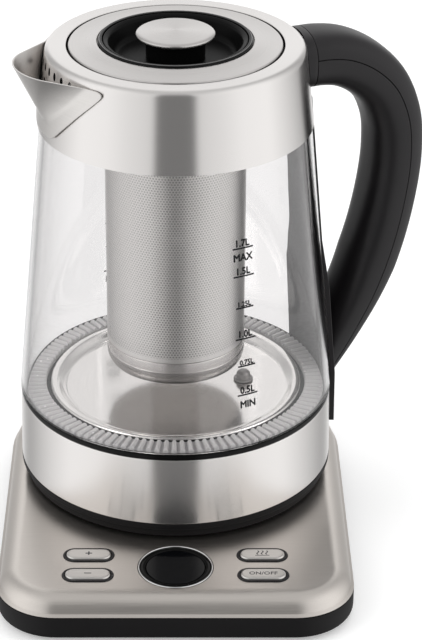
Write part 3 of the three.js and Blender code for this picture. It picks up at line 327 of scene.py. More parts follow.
def addPiece(name, shell, body, finish, node=None, sharp=35):
    points, faces = shell
    points = np.asarray(points, float).reshape(-1, 3)
    if body in jugBodies:
        points = jugPlace(points)
    mesh = smoothed(cleanMesh(name, points, faces), sharp)
    piece = linked(name, mesh)
    mesh.materials.append(finishes[finish])
    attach(piece, body)
    if node:
        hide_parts(node)
    return piece


def refinish(piece, finish, chosen):
    # gives a second finish to the faces whose centre is chosen, by its radius, height and angle in the jug's axes
    mesh = piece.data
    mesh.materials.append(finishes[finish])
    centre = np.zeros(len(mesh.polygons) * 3)
    mesh.polygons.foreach_get("center", centre)
    centre = centre.reshape(-1, 3) / millimetre
    angle = np.arctan2(centre[:, 1], centre[:, 0]) - jugTurn
    index = np.zeros(len(mesh.polygons), np.int32)
    mesh.polygons.foreach_get("material_index", index)
    index[chosen(np.hypot(centre[:, 0], centre[:, 1]), centre[:, 2] - jugBaseZ, angle)] = len(mesh.materials) - 1
    mesh.polygons.foreach_set("material_index", index)


def quadratic(a, b, c, t):
    return (1 - t) ** 2 * a + 2 * t * (1 - t) * b + t ** 2 * c


def quarterTurn(steps):
    return np.linspace(0, 0.5 * np.pi, steps + 1)


def softOutline(corners, radius=0.3, closed=True, steps=4):
    # Rounds an outline: corner C between P and Q, one radius off along its two edges, becomes the curve
    # (1 - t)^2 P + 2 t (1 - t) C + t^2 Q. A point stands a little outside P and Q, so the shading stays flat there.
    # A corner given as (radius, height, rounding) has its own rounding.
    p = np.array([corner[:2] for corner in corners], float)
    reach = np.array([corner[2] if len(corner) > 2 else radius for corner in corners], float)
    if not closed:
        reach[0] = reach[-1] = 0
    sides = []
    for step in (1, -1):
        edge = np.roll(p, step, 0) - p
        length = np.maximum(np.linalg.norm(edge, axis=1), 1e-9)
        near = np.minimum(reach, 0.4 * length)
        sides.append([(p + edge / length[:, None] * off[:, None])[:, None]
                      for off in (near, np.minimum(near * 1.4, 0.47 * length))])
    (start, before), (end, after) = sides
    curve = quadratic(start, p[:, None], end, np.linspace(0, 1, steps + 1)[None, :, None])
    return np.concatenate([before, curve, after], 1).reshape(-1, 2)


def polar(radius, angle, *height):
    # points at radius (cos, sin) of an angle about Z, at a height where one is given
    return np.stack(np.broadcast_arrays(radius * np.cos(angle), radius * np.sin(angle), *height), -1)


def arcPoints(centreR, centreZ, radius, start, end, steps=10):
    # circle points: centre plus radius times (cos, sin) from one angle to another, in degrees
    a = np.radians(np.linspace(start, end, steps + 1))
    return (polar(radius, a) + (centreR, centreZ)).tolist()


def revolved(outline, sides=fineSides, ends="loop", offset=(0.0, 0.0)):
    # point (i, j) has the radius r and height z of outline point i, at angle 2 pi j / sides about Z.
    # "loop" joins the outline's end to its start; "axis" has both on the axis, where the rows shrink to poles.
    outline = np.asarray(outline, float)
    angle = np.arange(sides) * 2 * np.pi / sides
    points = polar(outline[:, :1], angle, outline[:, 1:2]) + (*offset, 0)
    return points.reshape(-1, 3), gridFaces(len(outline), sides, ends == "loop", True).tolist()


def turnedPiece(name, node, body, finish, corners, radius=0.3, sides=fineSides, offset=(0.0, 0.0), sharp=35):
    # a piece turned about an upright axis from an outline with softened corners
    onAxis = corners[0][0] == 0 and corners[-1][0] == 0
    shell = revolved(softOutline(corners, radius, not onAxis), sides, "axis" if onAxis else "loop", offset)
    return addPiece(name, shell, body, finish, node, sharp)


def turnedPieces(rows, *more):
    # by piece: node, body, finish, outline as (radius, height, rounding of its own), rounding elsewhere, sides, place
    return {name: turnedPiece(name, *row, *more) for name, row in rows.items()}


def loftedRings(rings, wrapRows=False):
    # rows are closed rings of equal length, skinned one to the next; a cap closes each end, unless the rows wrap
    rings = np.asarray(rings, float)
    rows, columns = rings.shape[:2]
    faces = gridFaces(rows, columns, wrapRows, True).tolist()
    if not wrapRows:
        faces += [list(range(columns))[::-1], list(range((rows - 1) * columns, rows * columns))]
    return rings.reshape(-1, 3), faces


def sheetShell(outer, inner):
    # a wall between two equal grids, closed along its four borders
    rows, columns = outer.shape[:2]
    size = rows * columns
    skin = gridFaces(rows, columns)
    index = np.arange(size).reshape(rows, columns)
    border = np.concatenate([index[0, :-1], index[:-1, -1], index[-1, :0:-1], index[:0:-1, 0]])
    following = np.roll(border, -1)
    rim = np.stack([border, following, following + size, border + size], -1)
    faces = np.concatenate([skin, skin[:, ::-1] + size, rim])
    return np.concatenate([outer.reshape(-1, 3), inner.reshape(-1, 3)]), faces.tolist()


def cutHoles(piece, cutters):
    # cuts closed shells out of a finished piece; the cutters are removed afterwards
    tool = cleanMesh("cutter", *joined(*cutters), False)
    cutter = linked("cutter", tool)
    change = piece.modifiers.new("holes", "BOOLEAN")
    change.operation, change.solver, change.object = "DIFFERENCE", "EXACT", cutter
    shaped = evaluated(piece)
    piece.modifiers.clear()
    old = piece.data
    piece.data = shaped
    shaped.name = piece.name
    bpy.data.meshes.remove(old)
    bpy.data.objects.remove(cutter)
    bpy.data.meshes.remove(tool)
    smoothed(shaped)


def column(radius, low, high, sides=32, offset=(0.0, 0.0)):
    return revolved([(0, low), (radius, low), (radius, high), (0, high)], sides, "axis", offset)


def softenEdges(piece):
    bevel = piece.modifiers.new("soft edges", "BEVEL")
    bevel.width, bevel.segments = softEdge * millimetre, 2
    bevel.limit_method, bevel.angle_limit = "ANGLE", math.radians(40)
    bevel.harden_normals = False


basePlanSize = {"halfWidth": 88, "front": 134, "back": 86, "frontCorner": 30, "backCorner": 58, "cornerSteps": 16}


def basePlan(inset):
    # rounded rectangle: corner k has centre c and points c + (radius - inset) (cos, sin) over its quarter turn
    size = basePlanSize
    t = quarterTurn(size["cornerSteps"])
    corners = [(1, -1, size["frontCorner"]), (1, 1, size["backCorner"]), (-1, 1, size["backCorner"]),
               (-1, -1, size["frontCorner"])]
    parts = []
    for k, (sideX, sideY, radius) in enumerate(corners):
        reachY = size["front"] if sideY < 0 else size["back"]
        angle = (k - 1) * 0.5 * np.pi + t
        centre = (sideX * (size["halfWidth"] - radius), sideY * (reachY - radius))
        parts.append(polar(radius - inset, angle) + centre)
    return np.concatenate(parts)


def planRings(levels):
    return np.stack([np.column_stack([basePlan(inset), np.full(4 * (basePlanSize["cornerSteps"] + 1), height)])
                     for inset, height in levels])


coverShape = {"low": 13.0, "flank": 1.4, "shoulder": 8.4, "run": 1.15, "wall": 1.2, "steps": 14, "footEdge": 0.25,
              "deckEdge": 0.6, "keyClear": 0.45, "displayHole": 18.8, "socketHole": 28.0, "cut": (14, 26, 30)}
keyPlaces = {"plus": (-42.9, -94.0), "minus": (-42.9, -111.5), "warm": (42.9, -94.0), "power": (42.9, -111.5)}
keyShape = {"length": 22.4, "width": 8.8, "top": 24.1, "edge": 1.1, "frameRim": 1.2, "frameTop": 23.3,
            "flange": 1.3, "flangeTop": 19.1, "flangeLow": 17.6, "stem": 2.2, "roundSteps": 14}
screwPlaces = [(-74.008, -69.948), (74.008, -69.948), (-33.968, 67.94), (33.968, 67.94)]


def pillRing(spread, height, place):
    # pill outline, drawn out by a spread: half circles of radius width / 2 + spread round two centres
    radius = keyShape["width"] / 2 + spread
    reach = (keyShape["length"] - keyShape["width"]) / 2
    t = np.linspace(-0.5 * np.pi, 0.5 * np.pi, keyShape["roundSteps"] + 1)
    right = polar(radius, t) + (reach, 0)
    ring = np.concatenate([right, -right]) + np.array(place)
    return np.column_stack([ring, np.full(len(ring), height)])


def coverLevels(drawn, lift):
    # flank, then a quarter of an ellipse: inset = run * shoulder * (1 - cos), height = shoulder * sin
    shape = coverShape
    a = quarterTurn(shape["steps"])
    inset = shape["flank"] + drawn + shape["shoulder"] * shape["run"] * (1 - np.cos(a))
    height = deckZ - shape["shoulder"] - lift + shape["shoulder"] * np.sin(a)
    return np.column_stack([inset, height]).tolist()


def makeCover():
    shape = coverShape
    outer = [[shape["footEdge"], shape["low"]], [0, shape["low"] + shape["footEdge"]]] + coverLevels(0, 0)
    outer.append([outer[-1][0] + shape["deckEdge"], deckZ])
    inner = coverLevels(shape["wall"], shape["wall"])
    inner.append([inner[-1][0] + shape["deckEdge"], deckUnderZ])
    levels = outer + inner[::-1] + [[shape["wall"], shape["low"]]]
    rings = planRings(levels)
    rows, columns = rings.shape[:2]
    faces = gridFaces(rows, columns, True, True).reshape(rows, columns, 4)
    kept = [row for row in range(rows) if row != len(outer) - 1]
    faces = faces[kept].reshape(-1, 4).tolist()
    deck = (len(outer) - 1) * columns
    faces.append(list(range(deck, deck + columns)))
    faces.append(list(range(deck + columns, deck + 2 * columns))[::-1])
    cover = addPiece("base_shell", (rings.reshape(-1, 3), faces), "base", "deckSteel", "base_cover")
    low, keyHigh, high = shape["cut"]
    cutters = [loftedRings([pillRing(keyShape["frameRim"] + shape["keyClear"], z, place) for z in (low, keyHigh)])
               for place in keyPlaces.values()]
    cutters.append(column(shape["displayHole"], low, high, midSides, (0, displayY)))
    cutters.append(column(shape["socketHole"], low, high, midSides))
    cutHoles(cover, cutters)


makeCover()


def onGland(shell, out=0.0):
    # a shell turned about Z, laid along Y on the cord gland's axis
    points, faces = shell
    return np.stack([points[:, 0], glandY + out + points[:, 2], glandZ + points[:, 1]], -1), faces


trayShape = {"under": 3.6, "wall": 3.0, "floor": 2.2, "top": 12.7}
# radius, lowest and highest point and sides of the screws' wells and bores, their posts and the gland's hole
trayColumns = {"well": (3.5, -2, 2.5, 32), "bore": (1.7, -2, 13, 24), "post": (4.6, 1.1, 10.8, 32),
               "gland": (4.5, -12, 5, 32)}


def makeTray():
    # drip-free under-tray: a quarter round below, upright walls, an open hollow, screw wells and the gland's hole
    under, wall, floor, top = trayShape.values()
    a = quarterTurn(8)
    outer = np.column_stack([under * (1 - np.sin(a)), under * (1 - np.cos(a))]).tolist()
    levels = outer + [[0, under + 0.6], [0, top - 0.5], [0.15, top - 0.1], [0.4, top], [wall - 0.2, top],
                      [wall, top - 0.2], [wall, floor + under], [under + wall, floor]]
    well, bore, post = [[column(*trayColumns[name], place) for place in screwPlaces]
                        for name in ("well", "bore", "post")]
    tray = addPiece("base_pan", loftedRings(planRings(levels)), "base", "trayPlastic", "base_tray")
    cutHoles(tray, [*well, *bore, onGland(column(*trayColumns["gland"]))])
    addPiece("base_pan_posts", joined(*post), "base", "trayPlastic")


makeTray()


# a bright ring, a black bezel and a flat smoked window let into the deck
displayPieces = {
    "display_ring": ("display_trim", "base", "chrome", [
        (17.6, 19.4), (18.5, 19.4), (18.5, 23.05), (18.05, 23.3), (17.6, 23.05)], 0.25),
    "display_surround": ("display_bezel", "base", "glossPlastic", [
        (12.4, 19.4), (17.3, 19.4), (17.3, 22.8), (16.0, 23.1), (14.7, 22.8), (14.7, 20.3), (12.4, 20.3)], 0.35),
    "display_window": ("display_lens", "base", "lens", [(0, 20.6), (14.4, 20.6), (14.4, 22.8), (0, 22.8)], 0.35),
}
turnedPieces(displayPieces, midSides, (0, displayY))


def makeKeys():
    # cap: pill rings from a flange under the frame to a rounded top edge, with a stem to its switch
    shape = keyShape
    flange, flangeTop, flangeLow = shape["flange"], shape["flangeTop"], shape["flangeLow"]
    a = quarterTurn(6)
    edge = shape["edge"]
    for key, place in keyPlaces.items():
        levels = [[flange, flangeLow], [flange, flangeTop], [0, flangeTop + 0.05], [0, shape["top"] - edge - 0.3]]
        levels += np.column_stack([edge * (np.cos(a) - 1), shape["top"] - edge + edge * np.sin(a)]).tolist()
        levels += [[-edge - 0.4, shape["top"]]]
        cap = loftedRings([pillRing(spread, height, place) for spread, height in levels])
        stem = column(shape["stem"], flangeLow - 0.5, flangeLow + 0.4, 24, place)
        addPiece("key_cap_" + key, joined(cap, stem), key + "_button", "keySteel", "key_" + key)
    for side, keys in (("left", ("plus", "minus")), ("right", ("warm", "power"))):
        rim, top = shape["frameRim"] + gap, shape["frameTop"]
        section = softOutline([(gap, 19.4), (4.5, 19.4), (4.5, 21.3), (rim, 21.3), (rim, top), (gap, top)], 0.3)
        rings = [loftedRings([pillRing(spread, height, keyPlaces[key]) for spread, height in section],
                             wrapRows=True) for key in keys]
        addPiece("key_surround_" + side, joined(*rings), "base", "blackPlastic", "key_frame_" + side)


makeKeys()


# round socket in the deck: a moulded well, a boss with a slot and a bore, and a loose sleeve
connectorPieces = {
    "deck_connector": ("base_connector", "base", "blackPlastic", [
        (0, 15.8), (32, 15.8), (32, 21.3), (27.7, 21.3), (27.7, 23.1, 0.5), (26, 23.1, 0.8), (26, 17.8, 0.8),
        (15, 17.8, 0.8), (15, 34.8, 1.2), (11.6, 34.8, 0.6), (11.6, 23.3), (8.6, 23.3), (8.6, 34.8, 0.6),
        (3.3, 34.8, 0.6), (3.3, 23.3), (0, 23.3)], 0.3, midSides),
    "connector_sleeve": ("connector_shutter", "swivel_sleeve", "wellPlastic", [
        (15.3, 18.1), (19.8, 18.1), (19.8, 24.85, 1.2), (17.55, 27.1, 1.2), (15.3, 27.1)], 0.3, midSides),
}
turnedPieces(connectorPieces)

glandOutline = [(2.8, -9), (4.2, -9, 0.6), (4.2, 0), (5.6, 0), (4.9, 1.4), (2.8, 1.4)]
addPiece("rear_gland", onGland(revolved(softOutline(glandOutline, 0.25), 48), gap), "base", "rubber", "cord_gland")

footPlaces = [(-62.04, -108.004), (62.04, -108.004), (-49.984, 52.03), (49.984, 52.03)]
for number, place in enumerate(footPlaces, 1):
    turnedPiece(f"rubber_foot_{number}", f"foot_{number}", "base", "rubber",
                [(0, -1.6), (7.2, -1.6, 0.6), (8, 0), (0, 0)], 0.2, 48, place)
print("base made")


jugFootPieces = {
    "jug_bottom": ("bottom_cover", "kettle", "trayPlastic", [
        (26, 1.4), (70, 1.4), (70, -1.1, 0.6), (73, -1.1, 0.6), (73, 0), (78.8, 0, 0.6), (78.8, 4.4, 0.4),
        (80.2, 4.4, 0.4), (80.8, 5.0, 0.4), (80.8, 7.9, 0.5), (79.3, 7.9), (79.3, 16.2), (77.3, 16.2),
        (77.3, 3.6), (26, 3.6)]),
    "steel_band": ("lower_band", "kettle", "jugSteel", [
        (79.9, 8.2), (80.8, 8.2, 0.3), (80.0, 44.7, 0.9), (74, 44.7), (74, 43.8), (79.1, 43.8)]),
    "black_ring": ("trim_ring", "kettle", "glossPlastic", [
        (76.9, 45), (80.15, 45, 0.5), (80.15, 47.6, 0.5), (76.9, 47.6)]),
    "socket_cup": ("kettle_socket", "kettle", "blackPlastic", [
        (0, 14.5), (22.4, 14.5), (22.4, 1.4), (24.2, 1.4), (24.2, 3.9), (31, 3.9), (31, 5.9), (24.2, 5.9),
        (24.2, 16.3), (0, 16.3)], 0.3, midSides),
    "contact_band": ("contact_ring", "kettle", "brass", [
        (9.6, 3.7), (10.6, 3.7), (10.6, 14.2), (9.6, 14.2)], 0.2, midSides),
    "centre_pin": ("contact_pin", "kettle", "brass", [(0, 3.2), (2.3, 3.2, 1.4), (2.3, 14.2), (0, 14.2)], 0.2, 48),
    # pressed heating plate: a shallow floor, a slope up to a raised rim and a flat flange under the seal
    "boiler_plate": ("heating_plate", "kettle", "plateSteel", [
        (0, 43.8), (57.5, 43.8, 2), (62, 48, 1), (63.5, 48, 0.6), (64.5, 45, 0.6), (76.3, 45), (76.3, 46),
        (67.2, 46, 0.1), (65.5, 46, 0.8), (64.5, 49, 1.0), (61.5, 49, 1.2), (57, 44.8, 2.5), (0, 44.8)]),
    "sensor_stud": ("temperature_probe", "kettle", "probeSteel", [
        (0, 36.8), (3.6, 36.8), (3.6, 45.1), (5, 45.1), (5, 46.2, 0.4), (3.6, 46.2), (3.6, 48.9, 0.8),
        (2.2, 50.3, 0.8), (0, 50.3)], 0.25, 48, (34.1772, -9.4140)),
}
plate = turnedPieces(jugFootPieces)["boiler_plate"]
# the groove between the plate's rim and the seal gets painted shade: near-black steel
refinish(plate, "paintedShadeSteel", lambda r, z, angle: (r > 64.4) & (r < 67.2) & (z > 45.3) & (z < 48))

sealShape = {"inner": 66.9, "outer": 76.3, "low": 46.3, "high": 48.3, "ribs": 114, "ribHeight": 1.3, "perRib": 10,
             "grooveCosine": -0.35, "grooveEdge": 0.4}


def makeSeal():
    # ribbed ring: top height = high + rib * (0.5 + 1.1 cos(ribs * angle)), kept between 0 and 1 rib, so the ribs are
    # flat pads with grooves between; the lift fades out towards the underside with the fourth power of the height
    shape = sealShape
    sides = shape["ribs"] * shape["perRib"]
    corners = [(shape["inner"], shape["low"]), (shape["outer"], shape["low"]), (shape["outer"], shape["high"], 0.5),
               (shape["inner"], shape["high"], 0.6)]
    outline = softOutline(corners, 0.3, steps=3)
    points, faces = revolved(outline, sides)
    angle = np.arctan2(points[:, 1], points[:, 0])
    wave = np.clip(0.5 + 1.1 * np.cos(shape["ribs"] * angle), 0, 1)
    lift = np.clip((points[:, 2] - shape["low"]) / (shape["high"] - shape["low"]), 0, 1) ** 4
    points[:, 2] += shape["ribHeight"] * wave * lift
    seal = addPiece("ribbed_seal", (points, faces), "kettle", "silicone", "glass_seal", 60)
    # the grooves between the ribs get painted shade: an opaque grey in place of the clear silicone
    edge = shape["grooveEdge"]
    refinish(seal, "groove", lambda r, z, angle: (np.cos(shape["ribs"] * angle) < shape["grooveCosine"])
             & (z > shape["low"] + edge) & (r > shape["inner"] + edge))


makeSeal()
print("jug foot made")

glassShape = {"low": 47.9, "high": 195.9, "radius": 80.3, "taper": 13.57, "wall": 3.0}


def glassRadius(z):
    # straight cone: the radius falls by the taper over the glass's height
    shape = glassShape
    return shape["radius"] - (np.asarray(z) - shape["low"]) * shape["taper"] / (shape["high"] - shape["low"])


def makeGlass():
    low, high, wall = (glassShape[name] for name in ("low", "high", "wall"))
    corners = [(glassRadius(low) - wall, low, 0.5), (glassRadius(low), low, 0.8), (glassRadius(high), high, 0.4),
               (glassRadius(high) - wall, high, 0.4)]
    turnedPiece("glass_wall", "glass_jug", "kettle", "glass", [(float(r), z, e) for r, z, e in corners], 0.5, 192,
                sharp=60)
    outer = float(glassRadius(high)) - gap
    turnedPiece("collar_seal", "upper_seal", "kettle", "silicone", [
        (outer - 3.2, high + gap), (outer, high + gap), (outer, high + 3.3), (outer - 3.2, high + 3.3)])


makeGlass()


boldStep = 0.004  # keeps the copies of bold letters from lying in one plane


def textShell(words, size, stretch, weight):
    # the built-in letters as flat faces, centred on the origin
    curve = bpy.data.curves.new("letters", "FONT")
    curve.body, curve.size, curve.align_x, curve.align_y = words, size, "CENTER", "CENTER"
    curve.resolution_u = 3
    holder = linked("letters", curve)
    mesh = evaluated(holder)
    points = np.zeros(len(mesh.vertices) * 3)
    mesh.vertices.foreach_get("co", points)
    points = points.reshape(-1, 3)
    faces = [list(face.vertices) for face in mesh.polygons]
    bpy.data.objects.remove(holder)
    bpy.data.curves.remove(curve)
    bpy.data.meshes.remove(mesh)
    points[:, :2] -= (points[:, :2].max(0) + points[:, :2].min(0)) / 2
    points[:, 0] *= stretch
    # bold: the same letters again, each a little to one side and a little higher
    around = [(x * weight * size, y * weight * size, boldStep * n)
              for n, (x, y) in enumerate([(0, 0), (1, 0), (-1, 0), (0, 1), (0, -1)])]
    return joined(*[(points + np.array(step), faces) for step in around])


def thickened(points, faces, lift):
    # flat letters given a back, a little below, and sides along every border edge
    size = len(points)
    front, back = points.copy(), points.copy()
    front[:, 2] += lift
    back[:, 2] = 0
    edges = {}
    for face in faces:
        for a, b in zip(face, face[1:] + face[:1]):
            edges[(a, b)] = True
    sides = [[b, a, a + size, b + size] for a, b in edges if (b, a) not in edges]
    return np.concatenate([front, back]), faces + [[v + size for v in face[::-1]] for face in faces] + sides


scaleShape = {
    "angle": -83.0,  # of the scale's middle, in the jug's own axes
    "lift": 0.06,
    "rows": [  # label, height of its line above the jug's underside, letter size, line length
        ("1.7L", 152.8, 5.0, 11.0), ("1.5L", 138.5, 5.0, 11.0), ("1.25L", 122.2, 3.7, 9.5), ("1.0L", 106.0, 5.0, 11.0),
        ("0.75L", 91.7, 3.7, 9.5), ("0.5L", 76.4, 5.0, 11.0)],
    "words": [("MAX", 148.2), ("MIN", 71.4)],
    "wordSize": 5.2, "stretch": 0.92, "bold": 0.04,
    "lineHeight": 0.8, "labelRise": 0.52,  # of a label's middle over its line, as a share of its size
    "stand": 0.03,
}


def bar(length, height, centre):
    # a flat strip of several faces, so that it can follow the glass
    x = np.linspace(-length / 2, length / 2, 9)
    points = np.concatenate([np.stack([x, 0 * x + side * height / 2, 0 * x], -1) for side in (-1, 1)])
    points[:, 1] += centre
    return points, gridFaces(2, 9).tolist()


def makeScale(name, middle):
    # flat marks wrapped on the glass: angle = middle + x / radius, and the height above stays as drawn
    shape = scaleShape
    flat = []
    for label, height, size, length in shape["rows"]:
        points, faces = textShell(label, size, shape["stretch"], shape["bold"])
        points[:, 1] += height + shape["labelRise"] * size
        flat += [(points, faces), bar(length, shape["lineHeight"], height)]
    for word, height in shape["words"]:
        points, faces = textShell(word, shape["wordSize"], shape["stretch"], shape["bold"])
        points[:, 1] += height
        flat.append((points, faces))
    points, faces = joined(*[thickened(some, list(cells), shape["lift"]) for some, cells in flat])
    radius = glassRadius(points[:, 1]) + shape["stand"] + points[:, 2]
    angle = math.radians(middle) + points[:, 0] / radius
    addPiece(name, (polar(radius, angle, points[:, 1]), faces), "kettle", "print")


makeScale("scale_front", scaleShape["angle"])
makeScale("scale_back", scaleShape["angle"] + 180)
print("glass made")

collarShape = {"low": 192.3, "top": 232.5, "bottomRadius": 68.06, "topRadius": 63.86, "fillet": 3.8, "wall": 0.7,
               "throat": 52.96, "throatDepth": 14.0, "slope": 0.11538, "holeRadius": 1.3, "holePitch": 6.3,
               "holeStretch": 1.6, "holeRows": [(7, 6.4), (5, 13.6)],
               # how near the outer skin a face's centre lies to keep the bright steel, free of painted shade: on the
               # cone, elsewhere, and down and out from the throat's rounded lip
               "coneSkin": 0.13, "skin": 0.15, "lip": (0.35, 0.9), "lighterShadeBelow": 3.5, "lighterShadeReach": 0.5}


def collarRadius(z):
    return collarShape["bottomRadius"] - (np.asarray(z) - collarShape["low"]) * collarShape["slope"]


def makeCollar():
    shape = collarShape
    top, wall, fillet, edge = shape["top"], shape["wall"], shape["fillet"], shape["topRadius"]
    outer = arcPoints(edge - fillet, top - fillet, fillet, 6, 90, 12)
    inner = arcPoints(edge - fillet, top - fillet, fillet - wall, 90, 0, 10)
    throat = shape["throat"]
    outline = np.concatenate([
        softOutline([(shape["bottomRadius"] - wall, shape["low"]), (shape["bottomRadius"], shape["low"])], 0, False, 1),
        [[float(collarRadius(z)), z] for z in (shape["low"] + 0.4, 205, 218, top - fillet - 0.6)],
        outer,
        softOutline([(throat + 4, top), (throat, top, 1.0), (throat, top - shape["throatDepth"])], 1.0, False)[1:-1],
        [[throat, top - shape["throatDepth"]], [throat + wall, top - shape["throatDepth"]],
         [throat + wall, top - wall]],
        inner,
    ])
    collar = addPiece("steel_collar", revolved(outline, 192), "kettle", "jugSteel", "collar")
    cutters = []
    for count, drop in shape["holeRows"]:
        z = top - drop
        turn = np.radians(180 + (np.arange(count) - (count - 1) / 2) * shape["holePitch"])
        for angle in turn:
            points, faces = column(shape["holeRadius"], -3, 3, 20)
            reach = float(collarRadius(z)) + points[:, 2]
            side, up = points[:, 0], z + shape["holeStretch"] * points[:, 1]
            cutters.append((jugPlace(np.stack([reach * math.cos(angle) - side * math.sin(angle),
                                               reach * math.sin(angle) + side * math.cos(angle), up], -1)), faces))
    cutHoles(collar, cutters)
    # all that lies under the outer skin, the holes' walls with it, gets painted shade: near-black steel
    def inside(r, z, angle):
        lipDepth, lipReach = shape["lip"]
        onCone = np.abs(r - collarRadius(z)) < shape["coneSkin"]
        onFillet = np.hypot(r - (edge - fillet), z - (top - fillet)) > fillet - shape["skin"]
        onTop = (z > top - shape["skin"]) | ((z > top - lipDepth) & (r < throat + lipReach))
        return ~np.where(z < top - fillet, onCone, onTop | (onFillet & (r > edge - fillet)))

    refinish(collar, "paintedShadeSteel", inside)
    # the wall of the throat below the lid keeps a satin finish with a lighter painted shade, mid-grey, so the open jug
    # isn't black
    refinish(collar, "throatShadeSteel", lambda r, z, angle: (r < throat + shape["lighterShadeReach"])
             & (z < top - shape["lighterShadeBelow"]))


makeCollar()

spoutShape = {
    "wall": 0.8, "standOff": 0.45, "low": 196.0, "high": 228.8, "rise": 1.7,
    "keelFoot": 202.0, "footReach": 67.4, "tipReach": 81.2, "footNose": 3.0, "tipNose": 25.5,
    # height, and there the angle from the spout's middle at which its wall meets the collar
    "crease": [(196, 1.5), (200, 3.0), (204, 7.4), (208.3, 11.8), (214.3, 18.0), (219.8, 23.2), (225, 27.6),
               (228.8, 30.8)],
    # height, and there the angle of the flange's edge, with its rounded corners
    "edge": [(196, 6.5), (196.6, 9.2), (198, 11.6), (200, 13.6), (206.8, 20.0), (213.2, 25.9), (219.5, 32.0),
             (224.6, 36.8), (226.4, 38.1), (227.7, 38.0), (228.4, 36.9), (228.8, 35.2)],
    # the dark tube of painted shade in the spout's inner corners: its radius, its shift inwards and its ends
    "bead": 0.75, "beadIn": 0.3, "beadEnds": (5, 0.6),  # the ends' distances from the sheet's foot and rim
    "levels": 64, "noseSteps": 12, "wallSteps": 8, "bendSteps": 6, "flangeSteps": 5, "bend": 2.6,
}


def spoutSide(offset):
    # One face of the bent sheet at every level from foot (0) to rim (1). In plan: an arc whose radius grows from foot
    # to rim, a straight line tangent to it down to the collar, a soft bend
    # (1 - t)^2 wall + 2 t (1 - t) crease + t^2 flange, and a flange round the collar. The face lies off this middle
    # line by the offset, square to it. The height falls from the keel to the walls with the distance from the tip.
    shape = spoutShape
    level = np.linspace(0, 1, shape["levels"] + 1)[:, None]
    side = shape["low"] + (shape["high"] - shape["low"]) * level
    keel = side + shape["rise"] * level
    seat = collarRadius(np.minimum(side, collarShape["top"] - collarShape["fillet"])) + shape["standOff"]
    seat = seat + shape["wall"] / 2
    climb = (keel - shape["keelFoot"]) / (shape["high"] + shape["rise"] - shape["keelFoot"])
    reach = np.maximum(shape["footReach"] + (shape["tipReach"] - shape["footReach"]) * climb, seat + 0.03)
    nose = shape["footNose"] + (shape["tipNose"] - shape["footNose"]) * np.clip(climb, 0, 1)
    crease, last = [np.radians(np.interp(side, *np.array(shape[name]).T)) for name in ("crease", "edge")]
    creasePoint = polar(seat, crease)
    centre = np.stack([reach - nose, 0 * nose], -1)
    toCrease = creasePoint - centre
    far = np.linalg.norm(toCrease, axis=-1)
    turn = np.arctan2(toCrease[..., 1], toCrease[..., 0]) - np.arccos(np.clip(nose / far, -1, 1))
    turn = np.maximum(turn, 0.01)
    a = turn * np.linspace(0, 1, shape["noseSteps"] + 1)[None]
    arc = centre + polar(nose, a)
    wall = creasePoint - arc[:, -1:]
    length = np.linalg.norm(wall, axis=-1)
    bend = np.minimum(shape["bend"], np.minimum(0.45 * length, 0.45 * seat * (last - crease)))
    wallEnd = creasePoint - wall * (bend / length)[..., None]
    flangeStart = crease + bend / seat
    t = np.linspace(0, 1, shape["wallSteps"] + 1)[None, 1:, None]
    straight = arc[:, -1:] + (wallEnd - arc[:, -1:]) * t
    start = polar(seat, flangeStart)
    t = np.linspace(0, 1, shape["bendSteps"] + 1)[None, 1:, None]
    bent = quadratic(wallEnd, creasePoint, start, t)
    a = flangeStart + (last - flangeStart) * np.linspace(0, 1, shape["flangeSteps"] + 1)[None, 1:]
    flange = polar(seat, a)
    half = np.concatenate([arc, straight, bent, flange], 1)
    along = np.gradient(half, axis=1)
    along[:, 0] = (0, 1)
    along /= np.maximum(np.linalg.norm(along, axis=-1, keepdims=True), 1e-9)
    half = half + offset * np.stack([along[..., 1], -along[..., 0]], -1)
    x = np.concatenate([half[:, :0:-1, 0], half[..., 0]], 1)
    y = np.concatenate([-half[:, :0:-1, 1], half[..., 1]], 1)
    tip, foot = half[:, :1, 0], creasePoint[..., 0]
    share = np.clip((tip - x) / np.maximum(tip - foot, 1.0), 0, 1)
    return np.stack([-x, -y, keel + (side - keel) * share], -1)


def makeSpout():
    spout = addPiece("pouring_spout", sheetShell(spoutSide(spoutShape["wall"] / 2), spoutSide(-spoutShape["wall"] / 2)),
                     "kettle", "spoutSteel", "spout", 60)
    softenEdges(spout)
    # a dark tube in each inner corner, painted shade where spout and collar meet: a tube about (radius, angle, height)
    # = (collar + stand, crease, z)
    shape = spoutShape
    above, below = shape["beadEnds"]
    z = np.linspace(shape["low"] + above, shape["high"] - below, 40)[:, None]
    a = np.linspace(0, 2 * np.pi, 12, endpoint=False)[None]
    tubes = []
    for side in (1, -1):
        crease = np.radians(np.interp(z, *np.array(shape["crease"]).T))
        radius = collarRadius(np.minimum(z, collarShape["top"] - collarShape["fillet"])) + shape["standOff"] / 2
        radius = radius + shape["bead"] * np.cos(a)
        angle = np.pi + side * (crease + (shape["bead"] * np.sin(a) - shape["beadIn"]) / radius)
        tubes.append(loftedRings(polar(radius, angle, z)))
    addPiece("spout_corner_shade", joined(*tubes), "kettle", "wellPlastic")


makeSpout()


